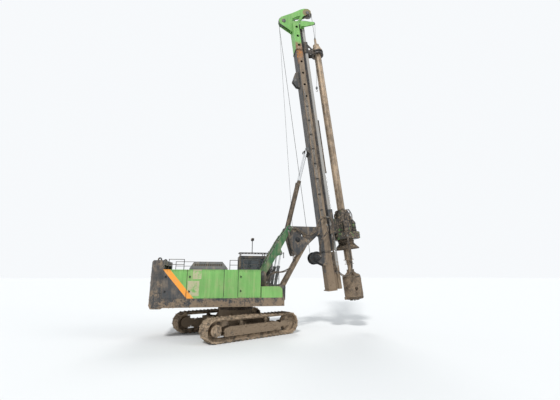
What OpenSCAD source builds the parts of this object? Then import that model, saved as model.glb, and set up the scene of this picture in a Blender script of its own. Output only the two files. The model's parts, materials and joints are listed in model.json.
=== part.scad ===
/* [Tracks] */
// Centre distance of the two tracks
gauge = 3300; // [3000:50:3700]
// Distance between the axles of sprocket and idler
wheelbase = 4100; // [3700:50:4500]
// Width of a track shoe
shoe_w = 750; // [600:50:900]
// Shoes in each loop
shoe_count = 50; // [44:1:56]
// Radius of the chain's outer edge round sprocket and idler
chain_r = 455; // [420:5:490]
// Height of a chain link
link_h = 110; // [90:5:130]
// Height of a grouser bar on its shoe
grouser_h = 40; // [25:5:60]
// Bottom rollers in each track frame
roller_count = 9; // [6:1:10]
// Turn of the tracks under the superstructure
track_turn = 27; // [0:1:90]

/* [Superstructure] */
// Underside of the deck above ground
deck_z = 1400; // [1390:5:1450]
// Height of the deck's beams
deck_h = 400; // [350:10:420]
// Width of the superstructure
deck_w = 3000; // [2950:10:3100]
// Front end of the deck, ahead of the slew axis
deck_front = 2300; // [2250:10:2400]
// Rear end of the deck, behind the slew axis
deck_rear = 3500; // [3450:10:3600]
// Length of the counterweight behind the deck
weight_len = 600; // [500:10:700]
// Top of the counterweight above ground
weight_top = 3560; // [3400:10:3700]
// Height of the side panels
panel_h = 1330; // [1250:10:1400]
// Thickness of a panel door
door_t = 40; // [30:5:50]
// Top of the engine hood above the house roof
hood_h = 400; // [300:10:450]
// Width of the engine hood
hood_w = 1300; // [1100:50:1400]
// Vents along the hood's side
hood_vents = 13; // [8:1:14]

/* [Cab] */
// Length of the cab
cab_len = 1850; // [1750:10:1900]
// Width of the cab
cab_w = 960; // [900:10:1000]
// Height of the cab
cab_h = 1750; // [1650:10:1850]
// Height of the plinth under the cab
plinth_h = 400; // [350:10:450]
// Thickness of the cab's walls
cab_wall = 45; // [35:5:60]
// Thickness of the panes
pane_t = 8; // [6:1:12]

/* [Linkage] */
// Length of the boom and of the support rods, from pin to pin
link_len = 2890; // [2800:10:2950]
// Angle of the boom above the deck as it stands
boom_angle = 59.9; // [55:0.1:65]
// Radius of the linkage pins
pin_r = 55; // [45:1:65]
// Depth of the boom arms at the middle
boom_depth = 330; // [280:10:360]
// Clearance of a turning fit
run_gap = 0.3; // [0.2:0.1:0.5]
// Bore of a luffing cylinder
luff_bore = 66; // [60:1:70]
// Bore of a mast cylinder
ram_bore = 82; // [75:1:86]

/* [Mast] */
// Backward lean of the mast as it stands
lean = 6.3; // [0:0.1:8]
// Width of the mast over its side plates
mast_w = 700; // [660:10:700]
// Depth of the mast's box
mast_d = 420; // [380:10:440]
// Wall of the mast's box
mast_wall = 18; // [14:1:25]
// Distance from the mast's pivot to the box's rear face
mast_back = 160; // [150:5:200]
// Front of the guide rails, ahead of the pivot
rail_front = 930; // [900:10:960]
// Foot of the mast below its pivot
mast_foot = 3400; // [3200:50:3500]
// Top of the mast above its pivot
mast_top_w = 14000; // [13500:100:14300]
// Lower joint of the top section above the pivot
top_joint = 11950; // [11500:50:12300]
// Spacing of the access holes in the top section
hole_step = 840; // [700:20:900]
// Radius of a rope sheave
sheave_r = 340; // [300:10:350]

/* [Drilling gear] */
// Distance of the kelly bar's axis ahead of the mast's pivot
kelly_u = 1720; // [1700:5:1760]
// Radius of the outer kelly bar
kelly_r = 220; // [200:5:230]
// Wall of the outer kelly bar
kelly_wall = 26; // [20:1:32]
// Lower end of the outer kelly bar below the mast's pivot
kelly_low = 1800; // [1750:10:1900]
// Depth of a drive key on the kelly bar
key_h = 22; // [15:1:28]
// Radius of the bucket
bucket_r = 500; // [400:10:600]
// Height of the bucket's shell
bucket_h = 1250; // [1100:50:1350]
// Stroke of the crowd cylinder
crowd_stroke = 4000; // [3500:50:4000]

/* [Hidden] */
$fn = 48;

// Colours of the finishes
green = [0.45, 0.80, 0.36];
dark_green = [0.22, 0.50, 0.25];
dark_grey = [0.20, 0.21, 0.22];
mid_grey = [0.45, 0.47, 0.48];
mud = [0.50, 0.44, 0.35];
rust_brown = [0.42, 0.36, 0.29];
black = [0.10, 0.10, 0.10];
chrome = [0.85, 0.86, 0.88];

// Tracks
shoe_t = 25;
shoe_gap = 10;
axle_z = chain_r + shoe_t + grouser_h;
loop_len = 2 * wheelbase + 2 * PI * chain_r;
shoe_pitch = loop_len / shoe_count;
rail_in = chain_r - link_h;
top_roller_r = 75;
frame_half = 190;
frame_wall = 40;

// Superstructure
deck_top = deck_z + deck_h;
panel_top = deck_top + panel_h;
half_w = deck_w / 2;
house_in = 720;
gap = 6;

// Cab
cab_x = 150;
cab_y = 760;
cab_z = deck_top + plinth_h;

// Linkage in the plane of the rig's side, as [forward, up] points
boom_foot = [1330, 2910];
rod_foot = [2450, 2250];
boom_dir = [cos(boom_angle), sin(boom_angle)];
boom_head = boom_foot + link_len * boom_dir;
rod_head = rod_foot + link_len * boom_dir;
mast_pin = boom_head + [1760.634, -40.288];
frame_corner = boom_head + [350.634, -1360.288];
luff_foot = [1950, 2050];
luff_eye = boom_foot + 0.5 * link_len * boom_dir + 290 * [sin(boom_angle), -cos(boom_angle)];
lean_dir = [-sin(lean), cos(lean)];
ram_up = 4960;
ram_foot = boom_head;
ram_eye = mast_pin + ram_up * lean_dir;

// Lateral places of the linkage's parts, from the middle of the rig
arm_in = 450;
arm_w = 180;
plate_in = 380;
plate_t = 60;
rod_in = 240;
rod_w = 130;
ram_y = 230;
luff_y = arm_in + arm_w / 2;

function bearing(a, b) = atan2(b[1] - a[1], b[0] - a[0]);
function span(a, b) = norm(b - a);

// Local X runs from a to b, both in the plane of the rig's side
module along(a, b) {
    translate([a[0], 0, a[1]]) rotate([0, -bearing(a, b), 0]) children();
}

// A plate whose outline lies in the plane of the rig's side
module side_plate(y, t) {
    translate([0, y + t, 0]) rotate([90, 0, 0]) linear_extrude(t) children();
}

// The same plate on both sides of the rig
module side_pair(y, t) {
    side_plate(y, t) children();
    side_plate(-y - t, t) children();
}

// A round bar across the rig
module cross_bar(p, r, y0, y1) {
    translate([p[0], y1, p[1]]) rotate([90, 0, 0]) cylinder(r = r, h = y1 - y0);
}

// Two round bars, one on each side of the rig
module cross_pair(p, r, y0, y1) {
    cross_bar(p, r, y0, y1);
    cross_bar(p, r, -y1, -y0);
}

// A rounded rectangle from its low corner
module round_rect(size, r) {
    translate([r, 0]) square([size[0] - 2 * r, size[1]]);
    translate([0, r]) square([size[0], size[1] - 2 * r]);
    for (x = [r, size[0] - r], y = [r, size[1] - r]) translate([x, y]) circle(r);
}

// A stadium between the two axles of a track
module stadium(r) {
    for (side = [-1, 1]) translate([side * wheelbase / 2, 0]) circle(r, $fn = 96);
    translate([-wheelbase / 2, -r]) square([wheelbase, 2 * r]);
}

module on_tracks(side = 0) {
    rotate([0, 0, track_turn]) translate([0, side * gauge / 2, 0]) children();
}

// Place and heading on the chain line, at the distance s from the rear end of the top run
function arc_len() = PI * chain_r;
function loop_angle(s) =
    s < wheelbase ? 0 :
    s < wheelbase + arc_len() ? -(s - wheelbase) / chain_r * 180 / PI :
    s < 2 * wheelbase + arc_len() ? 180 :
    180 - (s - 2 * wheelbase - arc_len()) / chain_r * 180 / PI;
function loop_place(s) =
    s < wheelbase ? [s - wheelbase / 2, chain_r] :
    s < wheelbase + arc_len() ? [wheelbase / 2, 0] + chain_r * [-sin(loop_angle(s)), cos(loop_angle(s))] :
    s < 2 * wheelbase + arc_len() ? [wheelbase * 1.5 + arc_len() - s, -chain_r] :
    [-wheelbase / 2, 0] + chain_r * [-sin(loop_angle(s)), cos(loop_angle(s))];

// Outline of one shoe with its grouser bar, as [along, outward] points
shoe_half = (shoe_pitch - shoe_gap) / 2;
shoe_outline = [
    [-shoe_half, 0], [-shoe_half, shoe_t], [-28, shoe_t], [-14, shoe_t + grouser_h],
    [14, shoe_t + grouser_h], [28, shoe_t], [shoe_half, shoe_t], [shoe_half, 0]
];
function shoe_point(p, s) =
    loop_place(s) + p[0] * [cos(loop_angle(s)), sin(loop_angle(s))]
                  + p[1] * [-sin(loop_angle(s)), cos(loop_angle(s))];

module track_outline() {
    polygon([for (i = [0:shoe_count - 1], p = shoe_outline) shoe_point(p, (i + 0.5) * shoe_pitch)]);
}

module track(side) {
    on_tracks(side) translate([0, 0, axle_z]) color(rust_brown) {
        side_plate(-shoe_w / 2, shoe_w) difference() {
            track_outline();
            stadium(chain_r - 14);
        }
        for (y = [-105, 65]) side_plate(y, 40) difference() {
            stadium(chain_r - 13.9);
            stadium(rail_in);
        }
    }
}
module track_right() track(-1);
module track_left() track(1);

// The frame between the wheels, with skirts over the rollers, a yoke at the idler and a
// plate for the drive on the side of the car body
module track_frame(side) {
    beam_half = wheelbase / 2 - chain_r - 20;
    beam_top = 640;
    on_tracks(side) color(dark_grey) {
        difference() {
            side_plate(-frame_half, 2 * frame_half) polygon([
                [-beam_half, 225], [beam_half, 225], [beam_half, 560], [beam_half - 260, beam_top],
                [-beam_half + 260, beam_top], [-beam_half, 560]
            ]);
            translate([-beam_half - 1, -frame_half + frame_wall, 0])
                cube([2 * beam_half + 2, 2 * (frame_half - frame_wall), 400]);
        }
        for (y = [-frame_half, frame_half - frame_wall]) side_plate(y, frame_wall) difference() {
            union() {
                translate([beam_half - 1, axle_z - 130]) square([wheelbase / 2 - beam_half + 1, 260]);
                translate([wheelbase / 2, axle_z]) circle(130);
            }
            translate([wheelbase / 2, axle_z]) circle(60);
        }
        drive_y = side < 0 ? frame_half - frame_wall : -frame_half;
        side_plate(drive_y, frame_wall) union() {
            translate([-wheelbase / 2, axle_z - 180]) square([wheelbase / 2 - beam_half + 1, 360]);
            translate([-wheelbase / 2, axle_z]) circle(250);
        }
        for (x = [-700, 700]) translate([x - 60, -90, beam_top - 1])
            cube([120, 180, axle_z + rail_in - 2 * top_roller_r - run_gap - beam_top + 1]);
    }
}
module track_frame_right() track_frame(-1);
module track_frame_left() track_frame(1);

module tooth_ring(r_root, r_tip, teeth) {
    step = 360 / teeth;
    polygon([for (i = [0:teeth - 1], k = [0:3])
        let (a = step * (i + [0, 0.3, 0.5, 0.8][k]), r = k < 2 ? r_root : r_tip)
        r * [cos(a), sin(a)]]);
}

module sprockets() {
    color(mid_grey) for (side = [-1, 1]) on_tracks(side) translate([-wheelbase / 2, 0, axle_z]) {
        side_plate(-40, 80) tooth_ring(rail_in + 10, chain_r - 40, 13);
        mirror([0, side > 0 ? 1 : 0, 0]) {
            cross_bar([0, 0], 245, -300, frame_half - frame_wall);
            cross_bar([0, 0], 150, -340, -299);
        }
    }
}

module idlers() {
    color(mid_grey) for (side = [-1, 1]) on_tracks(side) translate([wheelbase / 2, 0, axle_z]) {
        cross_bar([0, 0], rail_in - run_gap, -110, 110);
        cross_bar([0, 0], chain_r - 50, -60, 60);
        cross_bar([0, 0], 60 - run_gap, -frame_half - 10, frame_half + 10);
    }
}

module track_rollers() {
    roller_r = 84;
    first = -wheelbase / 2 + 640;
    step = (wheelbase - 1280) / (roller_count - 1);
    skirt = frame_half - frame_wall;
    color(mid_grey) for (side = [-1, 1]) on_tracks(side) {
        for (i = [0:roller_count - 1]) {
            p = [first + i * step, axle_z - rail_in + roller_r + run_gap];
            cross_bar(p, roller_r, -120, 120);
            cross_bar(p, roller_r + 18, -58, 58);
            cross_bar(p, 40, -skirt, skirt);
        }
        for (x = [-700, 700])
            cross_bar([x, axle_z + rail_in - top_roller_r - run_gap], top_roller_r, -110, 110);
    }
}

// Centre frame with four arms to the track frames and towing lugs at both ends
ring_seat = 1180;
face_gap = 0.1;
module car_body() {
    arm_y = gauge / 2 - frame_half;
    rotate([0, 0, track_turn]) color(dark_grey) {
        translate([0, 0, 430]) linear_extrude(370) polygon([
            [-1150, -arm_y], [-650, -arm_y], [-430, -900], [430, -900], [650, -arm_y], [1150, -arm_y],
            [950, -650], [950, 650], [1150, arm_y], [650, arm_y], [430, 900], [-430, 900],
            [-650, arm_y], [-1150, arm_y], [-950, 650], [-950, -650]
        ]);
        translate([0, 0, 799]) linear_extrude(ring_seat - 799) difference() {
            circle(860, $fn = 96);
            circle(560, $fn = 96);
        }
        for (a = [45:90:315]) rotate([0, 0, a]) side_plate(-25, 50)
            polygon([[840, 799], [1080, 799], [840, 1120]]);
        for (end = [-1, 1], z = [530, 630]) translate([0, 0, z]) linear_extrude(40) difference() {
            union() {
                translate([end > 0 ? 949 : -1130, -100]) square([181, 200]);
                translate([end * 1130, 0]) circle(100);
            }
            translate([end * 1130, 0]) circle(40);
        }
    }
}

module slew_ring() {
    low = ring_seat + face_gap;
    color(mid_grey) difference() {
        union() {
            translate([0, 0, low]) cylinder(r = 850, h = deck_z - low - run_gap, $fn = 96);
            translate([0, 0, low]) cylinder(r = 890, h = 70, $fn = 96);
        }
        translate([0, 0, low - 1]) cylinder(r = 690, h = 400, $fn = 96);
    }
}

// A profile in the plane across the rig, carried from x0 to x1
module run_x(x0, x1) {
    translate([x0, 0, 0]) rotate([90, 0, 90]) linear_extrude(x1 - x0) children();
}

// Channel along one side of the deck, open inwards
module side_channel() {
    flange = 90;
    web = 15;
    polygon([
        [half_w - flange, deck_z], [half_w, deck_z], [half_w, deck_top], [half_w - flange, deck_top],
        [half_w - flange, deck_top - web], [half_w - web, deck_top - web],
        [half_w - web, deck_z + web], [half_w - flange, deck_z + web]
    ]);
}

// Side views of the deck's webs: the inner one carries boom and support rod, the outer one
// boom and luffing cylinder
nose = [2570, 1620];
module web_base(front) {
    polygon([
        [-deck_rear, deck_z], [deck_front, deck_z], nose, front + [140, 0], front + [-60, 130],
        [1720, 2380], boom_foot + [165, -40], boom_foot + [-168, -20], [1010, deck_top],
        [-deck_rear, deck_top]
    ]);
}
module inner_web() {
    web_base(rod_foot);
    translate(rod_foot) circle(145);
    translate(boom_foot) circle(170);
}
module outer_web() {
    polygon([
        [-deck_rear, deck_z], [deck_front - 100, deck_z], luff_foot + [120, 0], luff_foot + [-40, 112],
        boom_foot + [165, -40], boom_foot + [-168, -20], [1010, deck_top], [-deck_rear, deck_top]
    ]);
    translate(luff_foot) circle(120);
    translate(boom_foot) circle(170);
}
module rod_lug() {
    polygon([[1900, deck_z], [deck_front, deck_z], nose, rod_foot + [140, 0], rod_foot + [-60, 130],
        [1900, deck_top]]);
    translate(rod_foot) circle(145);
}

module deck() {
    floor_t = 20;
    color(dark_grey) {
        for (side = [0, 1]) mirror([0, side, 0]) run_x(-deck_rear, deck_front) side_channel();
        translate([deck_front - 15, -half_w, deck_z]) difference() {
            cube([15, deck_w, deck_h]);
            translate([-1, half_w - arm_in - arm_w - 70, -1])
                cube([17, 2 * (arm_in + arm_w + 70), deck_h + 2]);
        }
        translate([-deck_rear, -half_w, deck_z]) cube([15, deck_w, deck_h]);
        side_pair(plate_in, plate_t) inner_web();
        side_pair(arm_in + arm_w + 10, plate_t) outer_web();
        side_pair(170, plate_t) rod_lug();
        cross_pair(boom_foot, pin_r, plate_in, arm_in + arm_w + 70);
        cross_pair(rod_foot, pin_r, 170, plate_in + plate_t);
        cross_pair(luff_foot, pin_r - 10, plate_in, arm_in + arm_w + 70);
        translate([0, 0, deck_top - floor_t]) linear_extrude(floor_t) difference() {
            translate([-deck_rear, -half_w]) square([deck_rear + deck_front, deck_w]);
            translate([900, -arm_in - arm_w - 10]) square([1500, 2 * (arm_in + arm_w + 10)]);
        }
        translate([0, 0, deck_z]) linear_extrude(40) difference() {
            union() {
                circle(950, $fn = 96);
                translate([-1100, -plate_in]) square([3300, 2 * plate_in]);
            }
            circle(600, $fn = 96);
        }
        for (x = [-2300, -1100, 1050, 2050]) translate([x, -half_w, deck_z]) difference() {
            cube([30, deck_w, deck_h - 1]);
            translate([-1, 200, 80]) cube([32, 500, 200]);
            translate([-1, deck_w - 700, 80]) cube([32, 500, 200]);
        }
    }
}

// Cast block with rounded rear corners, a waist line, a front pocket and lifting lugs
module counterweight() {
    corner = 430;
    low = deck_z - 50;
    rear = -deck_rear - weight_len;
    color(dark_grey) difference() {
        union() {
            intersection() {
                translate([0, 0, low]) linear_extrude(weight_top - low) union() {
                    translate([rear + corner, -half_w]) square([weight_len - corner, deck_w]);
                    translate([rear, -half_w + corner]) square([weight_len, deck_w - 2 * corner]);
                    for (side = [-1, 1]) translate([rear + corner, side * (half_w - corner)]) circle(corner);
                }
                side_plate(-half_w - 1, deck_w + 2) polygon([
                    [-deck_rear, low], [rear + 130, low], [rear, low + 160], [rear, weight_top - 90],
                    [rear + 110, weight_top], [-deck_rear, weight_top]
                ]);
            }
            for (y = [-900, 850]) side_plate(y, 50) difference() {
                union() {
                    translate([-deck_rear - 400, weight_top - 5]) square([200, 65]);
                    translate([-deck_rear - 300, weight_top + 60]) circle(100);
                }
                translate([-deck_rear - 300, weight_top + 60]) circle(35);
            }
        }
        translate([-deck_rear - 260, -half_w + 250, deck_top + 80])
            cube([261, deck_w - 500, weight_top - deck_top - 300]);
        translate([rear - 1, -half_w - 1, low + 700]) cube([26, deck_w + 2, 20]);
        for (side = [-1, 1]) translate([rear - 1, side * (half_w + 1) - 25, low + 700])
            cube([weight_len + 2, 50, 20]);
    }
}

engine_size = [1500, 900, 1050];
module engine() {
    color(mid_grey) {
        translate([-2950, -engine_size[1] / 2, deck_top + 60]) cube(engine_size);
        for (x = [-2900, -1700], y = [-400, 280]) translate([x, y, deck_top]) cube([200, 120, 61]);
    }
}

// Joints of the side panels, from the rear forwards
right_joints = [-deck_rear, -2410, -680, 0, 1120];
left_joints = [-deck_rear, -2000, -500, 50];
house_front = right_joints[4];
house_side = left_joints[3];
post = 60;
post_face = half_w - door_t - run_gap;
roof_t = 30;

module post_at(x, side) {
    y = side < 0 ? -post_face : post_face - post;
    translate([x, y, deck_top]) cube([post, post, panel_h - roof_t + 1]);
}

module house_plan() {
    polygon([[-deck_rear, -half_w], [house_front, -half_w], [house_front, -house_in],
        [house_side, -house_in], [house_side, half_w], [-deck_rear, half_w]]);
}

module house_shell() {
    skin = 12;
    wall_h = panel_h - 1;
    color(green) {
        translate([0, 0, panel_top - roof_t]) linear_extrude(roof_t) difference() {
            house_plan();
            translate([hood_x[0] + 70, -hood_w / 2 + 70]) square([hood_x[1] - hood_x[0] - 140, hood_w - 140]);
        }
        post_at(-deck_rear, -1);
        for (i = [1:3]) post_at(right_joints[i] - post / 2, -1);
        post_at(house_front - post, -1);
        post_at(-deck_rear, 1);
        for (i = [1:2]) post_at(left_joints[i] - post / 2, 1);
        post_at(house_side - post, 1);
        translate([right_joints[2], -half_w, deck_top])
            cube([right_joints[3] - right_joints[2] - gap, skin, wall_h]);
        for (x = [right_joints[2], right_joints[3] - gap - skin]) translate([x, -half_w, deck_top])
            cube([skin, door_t + 20, wall_h]);
        translate([left_joints[2], half_w - skin, deck_top])
            cube([house_side - left_joints[2], skin, wall_h]);
        translate([left_joints[2], half_w - 60, deck_top]) cube([skin, 60, wall_h]);
        translate([house_front - skin, -post_face, deck_top]) cube([skin, post_face - house_in, wall_h]);
        translate([house_side - skin, -house_in, deck_top]) cube([skin, house_in + half_w, wall_h]);
        translate([house_side - skin, -house_in - skin, deck_top])
            cube([house_front - house_side + skin, skin, wall_h]);
    }
}

// A hollow pressed door between two joints on the right, hinged at its front edge
module panel_door(rear, front) {
    rim = 70;
    skin = 6;
    low = deck_top + gap;
    size = [front - rear - 2 * gap, panel_h - roof_t - 2 * gap];
    color(green) translate([rear + gap, -half_w, low]) difference() {
        union() {
            side_plate(0, door_t) round_rect(size, 30);
            for (z = [160, size[1] - 260]) translate([size[0] - 4, -7, z]) cylinder(r = 8, h = 100);
        }
        side_plate(skin, door_t) translate([rim, rim]) square([size[0] / 2 - rim * 1.5, size[1] - 2 * rim]);
        side_plate(skin, door_t) translate([size[0] / 2 + rim / 2, rim])
            square([size[0] / 2 - rim * 1.5, size[1] - 2 * rim]);
        translate([60, -1, size[1] / 2 - 60]) cube([90, 5, 120]);
    }
}
module door_right_rear() panel_door(right_joints[0], right_joints[1]);
module door_right_mid() panel_door(right_joints[1], right_joints[2]);
module door_right_front() panel_door(right_joints[3], right_joints[4]);
module door_left_rear() mirror([0, 1, 0]) panel_door(left_joints[0], left_joints[1]);
module door_left_mid() mirror([0, 1, 0]) panel_door(left_joints[1], left_joints[2]);

hood_x = [-2400, -500];
module hood_form(inset) {
    low = panel_top + run_gap;
    intersection() {
        run_x(hood_x[0] + inset, hood_x[1] - inset) polygon([
            [-hood_w / 2 + inset, low - inset], [hood_w / 2 - inset, low - inset],
            [hood_w / 2 - inset, low + 60], [hood_w / 2 - 90 - inset, low + hood_h - inset],
            [-hood_w / 2 + 90 + inset, low + hood_h - inset], [-hood_w / 2 + inset, low + 60]
        ]);
        side_plate(-hood_w, 2 * hood_w) polygon([
            [hood_x[0] + inset, low - inset], [hood_x[1] - inset, low - inset],
            [hood_x[1] - inset, low + 80], [hood_x[1] - 260 - inset, low + hood_h - inset],
            [hood_x[0] + 200 + inset, low + hood_h - inset], [hood_x[0] + inset, low + 80]
        ]);
    }
}

module engine_hood() {
    vent = 80;
    step = 1300 / (hood_vents - 1);
    knuckle_r = 12;
    color(mid_grey) {
        difference() {
            hood_form(0);
            hood_form(12);
            for (i = [0:hood_vents - 1]) translate([-2160 + i * step, -hood_w, panel_top + 190])
                cube([vent, 2 * hood_w, vent + 30]);
        }
        for (x = [hood_x[0] + 250, hood_x[1] - 350])
            translate([x, hood_w / 2 + knuckle_r - 1, panel_top + knuckle_r + 2]) rotate([0, 90, 0])
                cylinder(r = knuckle_r, h = 100);
    }
}

// Low box ahead of the right side panels, open below
box_top = deck_top + 520;
module front_box() {
    x = [1150, 2200];
    top = box_top;
    color(green) difference() {
        side_plate(-half_w, half_w - 740) polygon([
            [x[0], deck_top], [x[1], deck_top], [x[1], top - 120], [x[1] - 120, top], [x[0], top]
        ]);
        side_plate(-half_w + 8, half_w - 740 - 16) polygon([
            [x[0] + 8, deck_top - 1], [x[1] - 8, deck_top - 1], [x[1] - 8, top - 124], [x[1] - 123, top - 8],
            [x[0] + 8, top - 8]
        ]);
    }
}

// Side view of the cab, from its lower rear corner
module cab_side() {
    polygon([
        [0, 0], [cab_len - 250, 0], [cab_len, 350], [cab_len - 190, cab_h - 50], [cab_len - 270, cab_h],
        [60, cab_h], [0, cab_h - 60]
    ]);
}
module cab_window() {
    polygon([[130, 780], [620, 780], [620, cab_h - 150], [130, cab_h - 150]]);
}
module cab_right_window() {
    polygon([[130, 700], [cab_len - 180, 700], [cab_len - 300, cab_h - 150], [130, cab_h - 150]]);
}
module door_outline() {
    polygon([
        [730, 90], [cab_len - 330, 90], [cab_len - 130, 380], [cab_len - 270, cab_h - 120], [730, cab_h - 120]
    ]);
}
module door_window() {
    polygon([
        [800, 760], [cab_len - 230, 760], [cab_len - 330, cab_h - 190], [800, cab_h - 190]
    ]);
}
module in_cab(y = 0) {
    translate([cab_x, cab_y + y, cab_z]) children();
}
door_y = cab_w - cab_wall;

// Window openings in the front and rear walls, as boxes that cut them through
module front_opening() {
    translate([cab_len - 420, 90, 440]) cube([500, cab_w - 180, cab_h - 640]);
}
module rear_opening() {
    translate([-50, 120, 800]) cube([150, cab_w - 240, cab_h - 980]);
}

module cab_shell() {
    color(dark_grey) in_cab() {
        difference() {
            side_plate(0, cab_w) cab_side();
            side_plate(cab_wall, cab_w - 2 * cab_wall) offset(delta = -cab_wall) cab_side();
            side_plate(-1, cab_wall + 2) cab_right_window();
            side_plate(door_y - 1, cab_wall + 2) cab_window();
            side_plate(door_y - 1, cab_wall + 2) door_outline();
            front_opening();
            rear_opening();
        }
        side_plate(door_y - 15, 15 - run_gap) difference() {
            offset(delta = 20) door_outline();
            offset(delta = -25) door_outline();
        }
        difference() {
            translate([20, 20, -plinth_h]) cube([cab_len - 290, cab_w - 40, plinth_h + 5]);
            translate([60, 60, -plinth_h - 1]) cube([cab_len - 370, cab_w - 120, plinth_h - 30]);
        }
    }
}

// The windscreen lies in the sloped front wall
module cab_glass() {
    lower = [cab_len, 350];
    upper = [cab_len - 190, cab_h - 50];
    color([0.3, 0.4, 0.45, 0.5]) in_cab() {
        side_plate(18, pane_t) cab_right_window();
        side_plate(cab_w - 18 - pane_t, pane_t) cab_window();
        intersection() {
            front_opening();
            along(lower, upper) translate([-100, 0, 18]) cube([cab_h, cab_w, pane_t]);
        }
        intersection() {
            rear_opening();
            translate([18, 0, 0]) cube([pane_t, cab_w, cab_h]);
        }
    }
}

module cab_door() {
    color(dark_grey) in_cab() {
        side_plate(door_y, cab_wall) difference() {
            offset(delta = -gap) door_outline();
            door_window();
        }
        for (z = [300, 1250]) {
            translate([740, cab_w + 10, z]) cylinder(r = 9, h = 90);
            translate([740, cab_w - 1, z]) cube([60, 13, 90]);
        }
        translate([cab_len - 330, cab_w - 1, 560]) cube([110, 26, 30]);
    }
}

module cab_door_glass() {
    color([0.3, 0.4, 0.45, 0.5]) in_cab() side_plate(cab_w - 18 - pane_t, pane_t) door_window();
}

module cab_seat() {
    color(black) in_cab() {
        translate([380, 260, cab_wall]) cube([460, 440, 300]);
        translate([360, 240, 345 - 1]) cube([520, 480, 120]);
        side_plate(240, 480) polygon([[350, 440], [460, 440], [350, 1010], [240, 990]]);
        for (y = [120, 735]) translate([420, y, cab_wall]) cube([420, 90, 560]);
        translate([1250, 300, cab_wall]) cube([120, 340, 120]);
    }
}

// Guard over the roof and in front of the windscreen
guard_bar = 40;
guard_low = cab_h + 149;
guard_top = guard_low + guard_bar;
module cab_guard() {
    bar = guard_bar;
    color(black) in_cab() {
        for (x = [100, cab_len - 380], y = [60, cab_w - 100]) translate([x, y, cab_h]) cube([bar, bar, 150]);
        difference() {
            translate([20, 0, guard_low]) cube([cab_len + 100, cab_w, bar]);
            for (i = [0:9]) translate([80 + i * 185, 60, guard_low - 10]) cube([145, cab_w - 120, 60]);
        }
        for (y = [0, cab_w - bar]) translate([cab_len + 60, y, 420]) cube([bar, bar, guard_low - 419]);
        for (i = [1:7]) translate([cab_len + 72, i * cab_w / 8 - 8, 440]) cube([16, 16, guard_low - 439]);
        for (z = [420, 880, 1340]) translate([cab_len + 60, 0, z]) cube([bar, cab_w, 30]);
        for (y = [150, cab_w - 150]) {
            translate([cab_len - 20, y - 20, guard_top - 1]) cube([60, 40, 25]);
            translate([cab_len - 40, y, guard_top + 80]) rotate([0, 90, 0]) cylinder(r = 68, h = 100);
        }
        translate([cab_len + 99, 20, guard_low + 20]) rotate([0, 90, 0]) cylinder(r = 14, h = 640);
        translate([cab_len + 730, -20, guard_low - 250]) cube([35, 180, 320]);
        for (y = [20, cab_w - 60]) difference() {
            translate([cab_len - 60, y, 420]) cube([130, bar, 30]);
            side_plate(-1, cab_w + 2) offset(delta = run_gap) cab_side();
        }
    }
}

// A hoop of round bar with a middle rail, standing on z0
module hoop(x0, x1, y, z0, height) {
    post_r = 17;
    for (x = [x0, x1]) translate([x, y, z0]) cylinder(r = post_r, h = height + post_r);
    for (z = [z0 + height * 0.5, z0 + height]) translate([x0, y, z]) rotate([0, 90, 0])
        cylinder(r = post_r - 3, h = x1 - x0);
}

// Rails beside the hood, on the front of the right housing and on the low box
module handrails() {
    color(black) {
        hoop(-3300, -2600, 150 - half_w, panel_top, 480);
        hoop(250, 1040, 120 - half_w, panel_top, 480);
        hoop(-400, 30, 650 - half_w, panel_top, 480);
        for (x = [-3300, -2000]) hoop(x, x + 1250, half_w - 150, panel_top, 480);
        hoop(1600, 2060, 200 - half_w, box_top, 730);
    }
}

module beacon_post() {
    foot = [cab_x + 800, cab_y + cab_w / 2, cab_z + guard_top];
    color(black) {
        translate(foot) cylinder(r = 45, h = 20);
        translate(foot) cylinder(r = 22, h = 780);
        translate(foot + [0, -190, 700]) cube([30, 380, 30]);
        for (y = [-150, 150]) translate(foot + [-10, y, 790]) rotate([0, 90, 0]) cylinder(r = 75, h = 90);
        for (y = [-150, 150]) translate(foot + [5, y - 10, 720]) cube([20, 20, 20]);
    }
}

// Side view of a bar between two pins, along local X
module bar_side(length, end_r, middle) {
    polygon([
        [0, -end_r * 0.85], [length * 0.3, -middle], [length * 0.7, -middle], [length, -end_r * 0.85],
        [length, end_r * 0.85], [length * 0.7, middle], [length * 0.3, middle], [0, end_r * 0.85]
    ]);
    for (x = [0, length]) translate([x, 0]) circle(end_r);
}

// Two box arms with eyes at both ends, a tube between them and lugs for the cylinders
module boom() {
    eye = pin_r + run_gap;
    lug_y = [luff_y - 75, luff_y + 50];
    color(dark_green) along(boom_foot, boom_head) {
        difference() {
            union() {
                side_pair(arm_in, arm_w) bar_side(link_len, 145, boom_depth / 2);
                cross_bar([1000, 0], 120, -arm_in - 1, arm_in + 1);
                for (y = lug_y) side_pair(y, 25) polygon([
                    [1200, -100], [1690, -100], [1520, -340], [1370, -340]
                ]);
                for (y = lug_y) side_pair(y, 25) translate([link_len * 0.5, -290]) circle(78);
            }
            side_pair(arm_in + 14, arm_w - 28) polygon([
                [260, -100], [link_len * 0.3, -boom_depth / 2 + 14], [link_len * 0.7, -boom_depth / 2 + 14],
                [link_len - 260, -100], [link_len - 260, 100], [link_len * 0.7, boom_depth / 2 - 14],
                [link_len * 0.3, boom_depth / 2 - 14], [260, 100]
            ]);
            for (x = [0, link_len]) cross_pair([x, 0], eye, arm_in - 1, arm_in + arm_w + 1);
        }
        cross_pair([link_len * 0.5, -290], luff_pin, luff_y - 75, luff_y + 75);
    }
}
luff_pin = 40;
open_play = 26;

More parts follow.
